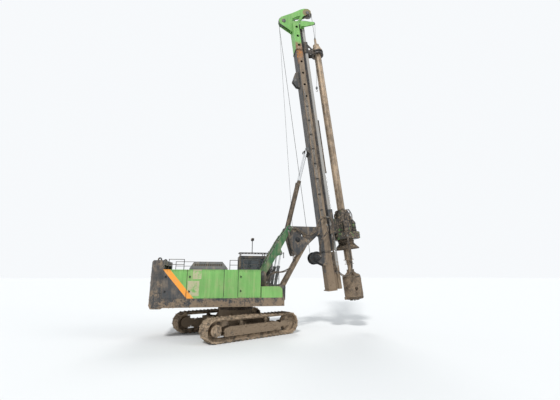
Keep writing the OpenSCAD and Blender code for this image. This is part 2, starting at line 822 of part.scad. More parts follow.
// Straight bars that keep the link frame level, joined by a tube
module support_rods() {
    eye = pin_r + run_gap;
    color(rust_brown) along(rod_foot, rod_head) difference() {
        union() {
            side_pair(rod_in, rod_w) bar_side(link_len, 115, 85);
            cross_bar([link_len * 0.5, 0], 55, -rod_in - 1, rod_in + 1);
        }
        side_pair(rod_in + 12, rod_w - 24) translate([240, -68]) square([link_len - 480, 136]);
        for (x = [0, link_len]) cross_pair([x, 0], eye, rod_in - 1, rod_in + rod_w + 1);
    }
}

// Triangular frame that the mast turns on; the small winch sits in its lower corner
aux_drum = boom_head + [520.634, -620.288];
main_pin = 70;
module link_frame_side() {
    polygon([
        boom_head + [-60, 130], mast_pin + [-30, 175], mast_pin + [150, 80], mast_pin + [130, -120],
        rod_head + [130, -90], frame_corner + [140, -110], frame_corner + [-70, -120],
        frame_corner + [-130, 20], boom_head + [-140, -60]
    ]);
    translate(boom_head) circle(150);
    translate(mast_pin) circle(190);
}
module link_frame() {
    inner = 110;
    color(dark_grey) {
        side_pair(plate_in, plate_t) difference() {
            link_frame_side();
            translate(boom_head + [870.634, -330.288]) circle(150);
        }
        side_pair(inner, 45) {
            polygon([boom_head + [-130, 0], frame_corner + [-100, 0], frame_corner + [90, 20],
                boom_head + [130, -60]]);
            translate(boom_head) circle(112);
        }
        side_pair(180, 45) {
            polygon([frame_corner + [-60, 60], frame_corner + [60, -60], rod_head + [60, -110],
                rod_head + [-90, 70]]);
            translate(rod_head) circle(115);
        }
        cross_bar(frame_corner + [20, 0], 95, -224, 224);
        cross_pair(boom_head, pin_r, inner, arm_in + arm_w + 40);
        cross_pair(boom_head, pin_r + 30, arm_in + arm_w + run_gap, arm_in + arm_w + 40);
        cross_pair(rod_head, pin_r, 180, plate_in + 1);
        cross_pair(mast_pin, main_pin, 250, plate_in + 1);
        cross_pair(aux_drum, 40, 85, plate_in + 1);
        along(boom_head, mast_pin) translate([450, -plate_in - 1, 60]) cube([420, 2 * plate_in + 2, 25]);
    }
}

// A winch drum between two flanges, wound with rope
module drum(p, flange_r, core_r, half) {
    difference() {
        union() {
            for (y = [-half, half - 25]) cross_bar(p, flange_r, y, y + 25);
            cross_bar(p, core_r, -half, half);
        }
        cross_bar(p, 40 + run_gap, -half - 1, half + 1);
    }
}
module aux_winch_drum() {
    color(black) drum(aux_drum, 230, 150, 165);
}

// Barrel of a cylinder along local X, with its foot eye, gland and bore
module barrel(length, bore, wall, eye_r, eye_bore, rod_r, y, width) {
    gland = 110;
    difference() {
        union() {
            translate([0, y, 0]) rotate([0, 90, 0]) cylinder(r = bore + wall, h = length);
            translate([length - gland, y, 0]) rotate([0, 90, 0]) cylinder(r = bore + wall + 14, h = gland);
            cross_bar([0, 0], eye_r, y - width / 2, y + width / 2);
        }
        translate([eye_r + 20, y, 0]) rotate([0, 90, 0]) cylinder(r = bore, h = length - gland - eye_r - 20);
        translate([eye_r + 20, y, 0]) rotate([0, 90, 0]) cylinder(r = rod_r + run_gap, h = length);
        cross_bar([0, 0], eye_bore, y - width / 2 - 1, y + width / 2 + 1);
        translate([-eye_r - wall, y + width / 2, -200]) cube([2 * eye_r + 2 * wall, 100, 400]);
        translate([-eye_r - wall, y - width / 2 - 100, -200]) cube([2 * eye_r + 2 * wall, 100, 400]);
    }
}

// Rod with its piston and an eye that has play on its pin
module ram_rod(reach, inner_end, bore, rod_r, pin, y, width) {
    eye_bore = pin + open_play;
    eye_r = eye_bore + 30;
    difference() {
        union() {
            translate([inner_end, y, 0]) rotate([0, 90, 0]) cylinder(r = rod_r, h = reach - inner_end);
            translate([inner_end, y, 0]) rotate([0, 90, 0]) cylinder(r = bore - run_gap, h = 110);
            cross_bar([reach, 0], eye_r, y - width / 2, y + width / 2);
        }
        cross_bar([reach, 0], eye_bore, y - width, y + width);
    }
}

luff_span = span(luff_foot, luff_eye);
luff_tube = 1330;
luff_rod_r = 42;
luff_pin_low = pin_r - 10;
module luff_barrels() {
    color(mid_grey) along(luff_foot, luff_eye) for (y = [-luff_y, luff_y])
        barrel(luff_tube, luff_bore, 14, 88, luff_pin_low + run_gap, luff_rod_r, y, 160);
}
module luff_rods() {
    color(chrome) along(luff_foot, luff_eye) for (y = [-luff_y, luff_y])
        ram_rod(luff_span, 760, luff_bore, luff_rod_r, luff_pin, y, 90);
}

ram_span = span(ram_foot, ram_eye);
ram_tube = 2950;
ram_rod_r = 60;
ram_pin = 42;
module ram_barrels() {
    color(mud) along(ram_foot, ram_eye) for (y = [-ram_y, ram_y])
        barrel(ram_tube, ram_bore, 18, 105, pin_r + run_gap, ram_rod_r, y, 130);
}
module ram_rods() {
    color(chrome) along(ram_foot, ram_eye) for (y = [-ram_y, ram_y])
        ram_rod(ram_span, 2150, ram_bore, ram_rod_r, ram_pin, y, 90);
}

// On the mast X is ahead of its pivot and Z is up along the mast
module on_mast() {
    translate([mast_pin[0], 0, mast_pin[1]]) rotate([0, -lean, 0]) children();
}
box_front = mast_back + mast_d;
web_y = [230, 290];
rail_back = 760;

// Plan of the mast: a box, two webs and the guide rails in front of them
module mast_plan() {
    difference() {
        translate([mast_back, -mast_w / 2]) square([mast_d, mast_w]);
        translate([mast_back + mast_wall, -mast_w / 2 + mast_wall])
            square([mast_d - 2 * mast_wall, mast_w - 2 * mast_wall]);
    }
    for (side = [0, 1]) mirror([0, side]) {
        translate([box_front - 1, web_y[0]]) square([rail_back - box_front + 2, 20]);
        translate([rail_back, web_y[0] + 10]) square([rail_front - rail_back, 20]);
        translate([rail_back, web_y[0] + 10]) square([20, mast_w / 2 - web_y[0] - 10]);
        translate([rail_front - 20, web_y[0] + 10]) square([20, mast_w / 2 - web_y[0] - 10]);
        translate([rail_back, mast_w / 2 - 20]) square([rail_front - rail_back, 20]);
    }
}
module mast_run(w0, w1) {
    translate([0, 0, w0]) linear_extrude(w1 - w0) mast_plan();
}

// Flange plate round the mast's box
module mast_flange(w, t) {
    translate([mast_back - 25, -mast_w / 2 - 20, w]) difference() {
        cube([mast_d + 25, mast_w + 40, t]);
        translate([25 + mast_wall, 20 + mast_wall, -1])
            cube([mast_d - 2 * mast_wall, mast_w - 2 * mast_wall, t + 2]);
    }
}

main_drum = [-300, -1530];
lower_joint = -1250;
// Lower section with its foot pads and the frame of the main winch
module mast_lower() {
    color(rust_brown) on_mast() {
        mast_run(-mast_foot + 60, lower_joint - 30);
        mast_flange(lower_joint - 30, 30);
        translate([mast_back - 60, -mast_w / 2 - 40, -mast_foot]) cube([mast_d + 120, mast_w + 80, 61]);
        side_pair(mast_w / 2 - 4, 26) {
            polygon([main_drum + [-60, 190], main_drum + [-60, -190], [mast_back + 60, -2050],
                [mast_back + 60, lower_joint - 60]]);
            translate(main_drum) circle(200);
        }
        cross_pair(main_drum, 40, 320, mast_w / 2 + 40);
    }
}

fold_low = 9300;
fold_h = 1100;
fold_w = [fold_low, fold_low + fold_h];
module mast_main() {
    color(rust_brown) on_mast() {
        difference() {
            mast_run(lower_joint + 30, top_joint - 30);
            for (i = [0:3]) cross_bar([box_front - 170, top_joint - 900 - i * hole_step], 75,
                -mast_w, mast_w);
        }
        mast_flange(lower_joint, 30);
        mast_flange(top_joint - 30, 30);
        side_pair(250, 120) difference() {
            union() {
                polygon([[-110, -90], [mast_back + 1, -330], [mast_back + 1, 330], [-110, 90]]);
                circle(145);
            }
            circle(main_pin + run_gap);
        }
        for (y = [ram_y - 100, ram_y + 70]) side_pair(y, 30) {
            polygon([[-80, ram_up - 50], [mast_back + 1, ram_up - 330], [mast_back + 1, ram_up + 300],
                [-80, ram_up + 50]]);
            translate([0, ram_up]) circle(95);
        }
        cross_pair([0, ram_up], ram_pin, ram_y - 100, ram_y + 100);
        translate([460, -524, 640]) cube([121, 524 - mast_w / 2 + 1, 120]);
        side_pair(60, 90) polygon([
            [mast_back + 1, fold_w[0]], [-60, fold_w[0] + 60], [-290, fold_w[0] + 460],
            [-230, fold_w[0] + 620], [-60, fold_w[1] - 80], [mast_back + 1, fold_w[1]]
        ]);
        cross_bar([-120, fold_w[0] + 500], 110, -150, 150);
        for (y = [-170, 140]) side_plate(y, 30) difference() {
            polygon([[box_front - 1, trunnion_w - 200], [1000, trunnion_w - 100], [1080, trunnion_w + 10],
                [1000, trunnion_w + 100], [box_front - 1, trunnion_w + 200]]);
            translate([crowd_u, trunnion_w]) circle(45);
        }
    }
}

module mast_top() {
    arm_y = -545;
    color(green) on_mast() {
        difference() {
            mast_run(top_joint + 30, mast_top_w);
            for (i = [0:2]) cross_bar([box_front - 170, top_joint + 350 + i * 700], 90, -mast_w, mast_w);
        }
        mast_flange(top_joint, 30);
        difference() {
            side_plate(-mast_w / 2 - 170, 175) polygon([
                [640, 13560], [760, 13520], [900, 13560], [900, 13960], [640, 13960]
            ]);
            translate([560, -mast_w / 2 - 140, 13400]) cube([300, 115, 700]);
        }
        for (y = [arm_y - 40, arm_y + 32]) side_plate(y, 22) {
            polygon([[640, 13560], [900, 13560], [1560, 13760], [1620, 13850], [1560, 13940], [640, 13960]]);
        }
        cross_bar([aux_u, 13850], 30, arm_y - 40, arm_y + 54);
    }
}
aux_u = 1550;

rear_sheave = [-370, 14290];
front_sheave_p = [kelly_u - sheave_r + 22, 15060];
module head_side() {
    difference() {
        polygon([
            [-640, 14080], [-700, 14330], [-520, 14600], [300, 14960], [920, 15300], [1180, 15390],
            [1480, 15400], [1660, 15230], [1640, 15040], [1330, 14900], [1040, 14760], [840, 14440],
            [700, 14180], [box_front + 40, mast_top_w], [mast_back, mast_top_w],
            [mast_back, 13500], [100, 13500]
        ]);
        polygon([[230, 14290], [250, 14520], [560, 14700], [880, 14800], [640, 14370]]);
    }
}
module mast_head() {
    plate_y = 130;
    color(green) on_mast() {
        side_pair(plate_y, 25) head_side();
        for (p = [[0, 14100], [1000, 15080], [80, 13620]]) cross_bar(p, 45, -plate_y - 1, plate_y + 1);
        cross_bar(rear_sheave, 40, -plate_y - 40, plate_y + 40);
        cross_bar(front_sheave_p, 40, -plate_y - 40, plate_y + 40);
        translate([mast_back, -mast_w / 2, mast_top_w]) cube([mast_d, mast_w, 25]);
    }
}

// A grooved rope wheel with lightening holes, on the shaft of the mast's head
module sheave(p, y, w, r) {
    translate([p[0], y, p[1]]) rotate([90, 0, 0]) difference() {
        rotate_extrude($fn = 72) polygon([
            [40 + run_gap, -w / 2], [75, -w / 2], [75, -10], [r - 60, -10], [r - 60, -w / 2], [r, -w / 2],
            [r - 32, 0], [r, w / 2], [r - 60, w / 2], [r - 60, 10], [75, 10], [75, w / 2],
            [40 + run_gap, w / 2]
        ]);
        for (a = [0:60:300]) rotate([0, 0, a]) translate([r * 0.52, 0, -20]) cylinder(r = r * 0.14, h = 40);
    }
}
module rear_sheaves() {
    color(mid_grey) on_mast() {
        sheave(rear_sheave, 0, 70, sheave_r);
        sheave(rear_sheave, -85, 60, sheave_r);
        translate([rear_sheave[0], -35, rear_sheave[1]]) rotate([90, 0, 0]) difference() {
            cylinder(r = 70, h = 20);
            translate([0, 0, -1]) cylinder(r = 40 + run_gap, h = 22);
        }
    }
}
module front_sheave() {
    color(mid_grey) on_mast() sheave(front_sheave_p, 0, 70, sheave_r);
}

module main_winch_drum() {
    color(black) on_mast() drum(main_drum, 355, 230, 330);
}

crowd_u = 1050;
crowd_mouth = 3500;
trunnion_w = crowd_mouth + 1500;
crowd_bore = 72;
crowd_rod_r = 55;
crowd_tube = crowd_stroke - 500;
module crowd_barrel() {
    color(mud) on_mast() {
        difference() {
            union() {
                translate([crowd_u, 0, crowd_mouth]) cylinder(r = crowd_bore + 18, h = crowd_tube);
                translate([crowd_u, 0, crowd_mouth]) cylinder(r = crowd_bore + 30, h = 90);
            }
            translate([crowd_u, 0, crowd_mouth - 1]) cylinder(r = crowd_rod_r + run_gap, h = 200);
            translate([crowd_u, 0, crowd_mouth + 110]) cylinder(r = crowd_bore, h = crowd_tube - 150);
        }
        difference() {
            translate([crowd_u, -140, trunnion_w]) rotate([-90, 0, 0]) cylinder(r = 60, h = 280);
            translate([crowd_u, 0, trunnion_w - 100]) cylinder(r = crowd_bore + 17, h = 200);
        }
        for (y = [-170, 139]) translate([crowd_u, y, trunnion_w]) rotate([-90, 0, 0])
            cylinder(r = 45 - run_gap, h = 31);
    }
}

// The crowd carriage: shoes round both guide rails, a front frame and the cylinder's lug
carriage_w = [-280, 1150];
drive_face = 1000;
module rail_shoe(w0, w1) {
    t = 50;
    for (side = [0, 1]) mirror([0, side, 0]) translate([0, 0, w0]) linear_extrude(w1 - w0) {
        translate([rail_back - 60, mast_w / 2 + run_gap])
            square([rail_front + run_gap + t - rail_back + 60, t]);
        translate([rail_front + run_gap, 180]) square([t, mast_w / 2 - 180 + t]);
        translate([rail_back - 60, web_y[1] + 10]) square([60 - run_gap, mast_w / 2 - web_y[1] + t - 10]);
    }
}
module crowd_carriage() {
    color(dark_grey) on_mast() {
        rail_shoe(carriage_w[0], carriage_w[0] + 420);
        rail_shoe(carriage_w[1] - 420, carriage_w[1]);
        side_pair(mast_w / 2 + run_gap + 10, 40) polygon([
            [rail_back - 60, carriage_w[0]], [drive_face, carriage_w[0]], [drive_face, carriage_w[1]],
            [rail_back - 60, carriage_w[1]], [rail_back - 60, carriage_w[1] - 420], [860, 600], [860, 270],
            [rail_back - 60, carriage_w[0] + 420]
        ]);
        translate([rail_front + run_gap, -mast_w / 2, carriage_w[0]]) difference() {
            cube([drive_face - rail_front - run_gap, mast_w, carriage_w[1] - carriage_w[0]]);
            translate([-1, 120, 500]) cube([80, mast_w - 240, 420]);
            translate([-1, mast_w / 2 - 79, carriage_w[1] - carriage_w[0] - 160]) cube([80, 158, 161]);
        }
        translate([drive_face - 1, -110, carriage_w[1] - 240]) cube([120, 30, 240]);
        translate([drive_face - 1, 80, carriage_w[1] - 240]) cube([120, 30, 240]);
        cross_bar([crowd_u, carriage_w[1] - 60], 35, -110, 110);
    }
}

module crowd_rod() {
    rod_low = carriage_w[1] - 60;
    inner_end = 4700;
    color(chrome) on_mast() {
        difference() {
            union() {
                translate([crowd_u, 0, rod_low]) cylinder(r = crowd_rod_r, h = inner_end - rod_low);
                cross_bar([crowd_u, rod_low], 62, -75, 75);
            }
            cross_bar([crowd_u, rod_low], 35 + run_gap, -80, 80);
        }
        translate([crowd_u, 0, inner_end - 1]) cylinder(r = crowd_bore - run_gap, h = 90);
    }
}

// Gear case, upper body, three motors and the block that bolts to the carriage
case_w = [-650, -290];
body_top = 900;
module rotary_drive() {
    sleeve_bore = sleeve_r + 5;
    color(mud) on_mast() difference() {
        union() {
            translate([kelly_u, 0, case_w[0]]) linear_extrude(case_w[1] - case_w[0]) intersection() {
                circle(850, $fn = 96);
                translate([drive_face + 15 - kelly_u, -900]) square([2000, 1800]);
            }
            translate([kelly_u, 0, case_w[1] - 1]) cylinder(r = 470, h = body_top - case_w[1] + 1);
            translate([drive_face, -390, case_w[1] + 11]) cube([450, 780, 850]);
            translate([kelly_u, 0, body_top - 1]) cylinder(r = 400, h = 130);
            translate([kelly_u - 320, -864, case_w[0] + 50]) cube([140, 90, 200]);
            for (m = [[500, 100], [500, -100], [600, 0]]) translate([kelly_u, 0, 0])
                rotate([0, 0, m[1]]) translate([m[0], 0, case_w[1] - 1]) {
                    cylinder(r = 165, h = 620);
                    translate([0, 0, 619]) cylinder(r1 = 165, r2 = 95, h = 110);
                }
        }
        translate([kelly_u, 0, case_w[0] - 1]) cylinder(r = sleeve_bore, h = 2500);
        translate([drive_face - 1, -125, carriage_w[1] - 260]) cube([140, 250, 400]);
    }
}

sleeve_r = 310;
module kelly_plan(grow) {
    circle(kelly_r + grow);
    for (a = [0:120:240]) rotate(a) translate([0, -26 - grow])
        square([kelly_r + key_h + grow, 52 + 2 * grow]);
}
// Turning sleeve with key slots, carrying the flange that drives a casing
adapter_bolts = 12;
adapter_circle = 660;
module drive_sleeve() {
    color(dark_grey) on_mast() translate([kelly_u, 0, 0]) difference() {
        union() {
            translate([0, 0, case_w[0] - 60]) cylinder(r = sleeve_r, h = body_top + 250 - case_w[0]);
            translate([0, 0, body_top + 129 + run_gap]) cylinder(r = 360, h = 60);
            translate([0, 0, -900]) cylinder(r = 450, h = 240);
            translate([0, 0, -1190]) cylinder(r1 = 690, r2 = 450, h = 291);
            translate([0, 0, -1230]) cylinder(r = 700, h = 41);
        }
        translate([0, 0, -1300]) linear_extrude(3000) kelly_plan(5);
        translate([0, 0, -1240]) cylinder(r1 = 620, r2 = 380, h = 280);
        translate([0, 0, -966]) cylinder(r = 300, h = 200);
        for (i = [0:adapter_bolts - 1]) rotate([0, 0, i * 360 / adapter_bolts])
            translate([adapter_circle, 0, -1240]) cylinder(r = 15, h = 60);
    }
}

guide_low = 11700;
guide_h = 800;
guide_w = [guide_low, guide_low + guide_h];
ring_r = 400;
module kelly_guide() {
    color(black) on_mast() {
        rail_shoe(guide_w[0], guide_w[1]);
        side_pair(180, 45) difference() {
            polygon([
                [rail_front + run_gap + 1, guide_w[0]], [kelly_u - 280, guide_w[0] + 60],
                [kelly_u - 280, guide_w[0] + 260], [rail_front + 330, guide_w[0] + 330],
                [kelly_u - 365, guide_w[0] + 390], [rail_front + 90, guide_w[1]],
                [rail_front + run_gap + 1, guide_w[1]]
            ]);
            translate([rail_front + 170, guide_w[0] + 420]) circle(90);
        }
        translate([kelly_u, 0, guide_w[0] + 60]) difference() {
            union() {
                cylinder(r = ring_r, h = 90);
                translate([0, 0, 89]) cylinder(r = ring_r - 50, h = 111);
                translate([0, 0, 199]) cylinder(r = ring_r, h = 60);
            }
            translate([0, 0, -1]) cylinder(r = kelly_r + key_h + 10, h = 300);
        }
    }
}

// Outer bar of the telescopic kelly: a keyed tube with a collar and a domed cap
inner_r = 150;
hood_foot = guide_w[0] + 60 + 259 + run_gap;
module kelly_outer() {
    bore = kelly_r - kelly_wall;
    color(mud) on_mast() translate([kelly_u, 0, 0]) difference() {
        union() {
            translate([0, 0, -kelly_low]) linear_extrude(kelly_low + hood_foot + 60) kelly_plan(0);
            translate([0, 0, hood_foot]) cylinder(r = ring_r - 20, h = 90);
            translate([0, 0, hood_foot + 89]) cylinder(r1 = ring_r - 50, r2 = 215, h = 400);
            translate([0, 0, hood_foot + 488]) cylinder(r = 215, h = 60);
        }
        translate([0, 0, -kelly_low + 90]) cylinder(r = bore, h = kelly_low + hood_foot + 600);
        translate([0, 0, -kelly_low - 1]) cylinder(r = inner_r + run_gap, h = 100);
        translate([0, 0, hood_foot + 110]) cylinder(r1 = ring_r - 75, r2 = bore, h = 360);
    }
}

// Inner bar with its square stub, shock plate and the rope swivel on top
stub_foot = -2650;
stub = 200;
module kelly_inner() {
    inner_top = hood_foot + 560;
    color(mid_grey) on_mast() translate([kelly_u, 0, 0]) {
        difference() {
            translate([0, 0, -kelly_low - 120]) cylinder(r = inner_r, h = inner_top + kelly_low + 120);
            translate([0, 0, -kelly_low]) cylinder(r = inner_r - 26, h = inner_top + kelly_low - 40);
        }
        translate([0, 0, -kelly_low - run_gap - 40]) cylinder(r = 290, h = 40);
        for (z = [0:3]) translate([0, 0, -kelly_low - 90 - z * 62]) cylinder(r = z == 3 ? 260 : 215, h = 30);
        translate([0, 0, -kelly_low - 300]) cylinder(r = 150, h = 181);
        translate([-stub / 2, -stub / 2, stub_foot]) cube([stub, stub, -kelly_low - stub_foot - 250]);
        translate([0, 0, inner_top - 1]) cylinder(r1 = 130, r2 = 75, h = 200);
        translate([0, 0, inner_top + 198]) cylinder(r = 75, h = 220);
        translate([-60, -20, inner_top + 417]) cube([120, 40, 130]);
    }
}

// Drilling bucket: a shell with the kelly box on its lid, cutting teeth below and a hinged floor
bucket_top = -2500;
bucket_floor = bucket_top - 200 - bucket_h;
module bucket() {
    wall = 22;
    stub_hole = stub / 2 + run_gap;
    color(rust_brown) on_mast() translate([kelly_u, 0, 0]) {
        difference() {
            union() {
                translate([0, 0, bucket_floor]) cylinder(r = bucket_r, h = bucket_h, $fn = 96);
                translate([0, 0, bucket_top - 201]) cylinder(r = bucket_r - 60, h = 40);
                translate([-160, -160, bucket_top - 200]) cube([320, 320, 330]);
                for (a = [0:90:270]) rotate([0, 0, a]) side_plate(-15, 30)
                    polygon([[150, bucket_top - 165], [400, bucket_top - 165], [150, bucket_top + 60]]);
            }
            translate([0, 0, bucket_floor - 1]) cylinder(r = bucket_r - wall, h = bucket_h - 29, $fn = 96);
            translate([-stub_hole, -stub_hole, stub_foot - run_gap])
                cube([2 * stub_hole, 2 * stub_hole, 300]);
            for (a = [90, 270]) rotate([0, 0, a]) translate([0, 0, bucket_floor + 520]) rotate([0, 90, 0])
                cylinder(r = 90, h = bucket_r + 10);
        }
        for (a = [30:60:330]) rotate([0, 0, a]) translate([bucket_r - 5, -14, bucket_floor + 120])
            cube([26, 28, bucket_h - 240]);
        translate([-bucket_r - 66, -90, bucket_floor - 40]) difference() {
            cube([70, 180, 130]);
            translate([-1, 45, -1]) cube([72, 90, 132]);
        }
        translate([-bucket_r - 36, 91, bucket_floor - 10]) rotate([90, 0, 0]) cylinder(r = 18, h = 182);
    }
}

// Hinged floor with its teeth
module bucket_flap() {
    teeth = 6;
    color(dark_grey) on_mast() translate([kelly_u, 0, bucket_floor - 6]) {
        difference() {
            translate([0, 0, -40]) cylinder(r = bucket_r - 4, h = 40, $fn = 96);
            translate([-bucket_r - 10, -96, -41]) cube([40, 192, 42]);
        }
        difference() {
            union() {
                translate([-bucket_r - 60, -40, -40]) cube([140, 80, 40]);
                translate([-bucket_r - 36, 40, -4]) rotate([90, 0, 0]) cylinder(r = 36, h = 80);
            }
            translate([-bucket_r - 36, 41, -4]) rotate([90, 0, 0]) cylinder(r = 18 + run_gap, h = 82);
        }
        for (i = [0:teeth - 1]) translate([90 + i * 65 - (i > 2 ? 545 : 0), -30, -130])
            rotate([0, i > 2 ? -20 : 20, 0]) cube([40, 60, 110]);
        translate([0, 0, -160]) cylinder(r1 = 20, r2 = 90, h = 121);
    }
}

// Free bundles of hoses between two moving pieces, as a plain tube along the route's points
hose_r = 36;
boom_hose_route = [
    [1520, -736, 2500], [1570, -750, 2720], [1720, -750, 2890], [1920, -760, 2990], [2140, -770, 3020],
    [2370, -770, 3050], [2580, -770, 3130], [2770, -770, 3250], [2890, -770, 3440], [2950, -770, 3660],
    [2960, -760, 3890], [2940, -760, 4110], [2890, -760, 4330], [2840, -750, 4560], [2790, -740, 4780],
    [2750, -710, 5000], [2720, -666, 5220]
];
frame_hose_route = [
    [2980, -476, 5440], [3190, -520, 5370], [3390, -550, 5260], [3590, -570, 5140], [3790, -580, 5050],
    [4020, -580, 5020], [4220, -580, 5120], [4350, -570, 5310], [4410, -560, 5520], [4480, -560, 5740],
    [4600, -560, 5930], [4780, -560, 6070], [5000, -560, 6130]
];
// These two are in the mast's own axes
drive_hose_route = [
    [600, -450, 700], [790, -480, 590], [850, -520, 380], [860, -530, 150], [840, -530, -70],
    [810, -530, -300], [770, -530, -520], [730, -530, -740], [690, -530, -970], [660, -530, -1190],
    [640, -550, -1420], [620, -560, -1640], [620, -580, -1870], [640, -610, -2090], [690, -650, -2310],
    [790, -700, -2500], [950, -770, -2650], [1160, -840, -2650], [1330, -890, -2520], [1430, -900, -2310],
    [1460, -910, -2090], [1470, -910, -1860], [1470, -910, -1630], [1470, -910, -1410], [1470, -910, -1180],
    [1470, -910, -950], [1470, -910, -730], [1470, -900, -500]
];
winch_hose_route = [
    [550, -386, 250], [540, -460, 40], [450, -520, -150], [310, -540, -310], [150, -540, -460],
    [20, -530, -630], [-50, -510, -840], [-90, -480, -1050], [-100, -450, -1260], [-110, -408, -1480]
];
module hose(route) {
    sides = 8;
    last = len(route) - 1;
    function unit(v) = v / norm(v);
    function side(t) = unit(cross([0, 1, 0], t));
    function ring(p, t) = [for (k = [0:sides - 1])
        p + hose_r * (cos(k * 360 / sides) * side(t) + sin(k * 360 / sides) * cross(t, side(t)))];
    points = [for (i = [0:last])
        each ring(route[i], unit(route[min(i + 1, last)] - route[max(i - 1, 0)]))];
    walls = [for (i = [0:last - 1], k = [0:sides - 1])
        let (a = i * sides + k, b = i * sides + (k + 1) % sides)
        each [[a, a + sides, b + sides], [a, b + sides, b]]];
    ends = [[for (k = [0:sides - 1]) k], [for (k = [sides - 1:-1:0]) last * sides + k]];
    color(black) polyhedron(points, concat(walls, ends));
}
module boom_hose() hose(boom_hose_route);
module frame_hose() hose(frame_hose_route);
module drive_hose() on_mast() hose(drive_hose_route);
module winch_hose() on_mast() hose(winch_hose_route);

car_body();
track_frame_right();
track_frame_left();
track_right();
track_left();
sprockets();
idlers();
track_rollers();
slew_ring();
deck();
counterweight();
engine();
house_shell();
front_box();
door_right_rear();
door_right_mid();
door_right_front();
door_left_rear();
door_left_mid();
engine_hood();
cab_shell();
cab_glass();
cab_guard();
cab_seat();
cab_door();
cab_door_glass();
handrails();
beacon_post();
boom();
support_rods();
link_frame();
luff_barrels();
luff_rods();
ram_barrels();
ram_rods();
mast_lower();
mast_main();
mast_top();
mast_head();
crowd_barrel();
main_winch_drum();
aux_winch_drum();
rear_sheaves();
front_sheave();
crowd_carriage();
rotary_drive();
crowd_rod();
drive_sleeve();
kelly_guide();
kelly_outer();
kelly_inner();
bucket();
bucket_flap();
boom_hose();
frame_hose();
drive_hose();
winch_hose();
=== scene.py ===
"""Paint, ropes, hoses, fittings and dried mud for a rotary piling rig.

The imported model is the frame, and every piece is placed from it, in metres.
"""

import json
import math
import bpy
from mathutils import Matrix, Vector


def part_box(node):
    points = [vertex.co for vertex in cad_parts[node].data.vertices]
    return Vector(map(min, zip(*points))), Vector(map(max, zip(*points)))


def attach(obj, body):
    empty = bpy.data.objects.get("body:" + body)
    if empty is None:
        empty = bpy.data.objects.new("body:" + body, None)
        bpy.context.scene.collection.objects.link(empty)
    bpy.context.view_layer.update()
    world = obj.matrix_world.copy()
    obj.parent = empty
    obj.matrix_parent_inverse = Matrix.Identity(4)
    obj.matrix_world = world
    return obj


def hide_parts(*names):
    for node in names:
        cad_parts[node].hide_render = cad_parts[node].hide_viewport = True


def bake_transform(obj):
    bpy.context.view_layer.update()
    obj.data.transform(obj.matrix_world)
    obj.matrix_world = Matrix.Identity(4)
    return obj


bl_info = {
    "name": "Piling Rig Looks",
    "version": (1, 0, 0),
    "blender": (4, 5, 0),
    "location": "View3D > Sidebar > Piling Rig",
    "description": "Adds paint, ropes, hoses, fittings and mud to the packed piling rig",
    "category": "Add Mesh",
}

import bmesh
import bpy
import numpy as np
from mathutils import Vector
from mathutils.bvhtree import BVHTree

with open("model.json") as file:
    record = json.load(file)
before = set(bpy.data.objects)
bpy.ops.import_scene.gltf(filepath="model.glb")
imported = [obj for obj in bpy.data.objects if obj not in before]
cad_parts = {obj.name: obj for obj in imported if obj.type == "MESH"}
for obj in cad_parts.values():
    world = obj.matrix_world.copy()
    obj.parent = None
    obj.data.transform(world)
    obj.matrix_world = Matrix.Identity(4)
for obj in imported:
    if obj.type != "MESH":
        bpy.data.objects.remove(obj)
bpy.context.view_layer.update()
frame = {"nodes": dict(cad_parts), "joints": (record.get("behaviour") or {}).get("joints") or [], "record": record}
JOINTS = {joint["name"]: joint for joint in frame["joints"]}

# The mast's own axes: up along it, forward across it, both from its pivot
MAST_PIN = np.array(JOINTS["mast_tilt"]["pos_m"], float)
MAST_UP = np.array(JOINTS["hoist"]["axis"], float)
MAST_FORE = np.array([MAST_UP[2], 0.0, -MAST_UP[0]])
LEFT = np.array([0.0, 1.0, 0.0])
# How far ahead of the mast's pivot the kelly bar's axis stands
KELLY_AHEAD = 1.72


def on_mast(fore, left, up):
    """Place of a point given by its distances ahead of, left of and above the mast's pivot."""
    return MAST_PIN + fore * MAST_FORE + left * LEFT + up * MAST_UP


def node_box(name):
    """Lowest and highest corner of a CAD node as two arrays."""
    low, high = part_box(name)
    return np.array(low, float), np.array(high, float)


# Sizes and colours that a user would change


def colour_setting(name, description, default):
    """A colour that a user can pick."""
    return bpy.props.FloatVectorProperty(name=name, description=description, subtype="COLOR", size=3,
                                         default=default)


def diameter_setting(name, description, default, low, high):
    """A diameter in metres, held between two limits."""
    return bpy.props.FloatProperty(name=name, description=description, unit="LENGTH", default=default,
                                   min=low, max=high)


class PaintColours(bpy.types.PropertyGroup):
    """Colours of the paint, the bare metal and the dirt on them."""

    green: colour_setting("Light green", "Paint of the housing and the mast's head", (0.190, 0.450, 0.115))
    dark_green: colour_setting("Dark green", "Paint of the boom", (0.035, 0.130, 0.045))
    dark_grey: colour_setting("Dark grey", "Paint of the deck, the counterweight and the linkage",
                              (0.030, 0.032, 0.034))
    mid_grey: colour_setting("Grey", "Paint of the hood and of machined parts", (0.105, 0.110, 0.112))
    black: colour_setting("Black", "Paint of guards, rails and the kelly guide", (0.010, 0.010, 0.011))
    orange: colour_setting("Orange", "The stripe on the side panels", (0.90, 0.34, 0.035))
    mud: colour_setting("Dried mud", "Mud that has dried on the rig", (0.290, 0.215, 0.145))
    wet_mud: colour_setting("Damp mud", "Darker mud in corners and on the tracks", (0.105, 0.076, 0.050))
    rust: colour_setting("Rust", "Rust where the paint has gone", (0.170, 0.062, 0.022))
    steel: colour_setting("Bare steel", "Steel rubbed bright by use", (0.33, 0.32, 0.30))


class LineSizes(bpy.types.PropertyGroup):
    """Sizes of the ropes and hoses."""

    main_rope: diameter_setting("Main rope", "Diameter of the rope that carries the kelly bar",
                                0.028, 0.02, 0.04)
    small_rope: diameter_setting("Small rope", "Diameter of the auxiliary rope", 0.018, 0.01, 0.03)
    hose: diameter_setting("Hose", "Diameter of a hydraulic hose", 0.038, 0.02, 0.045)


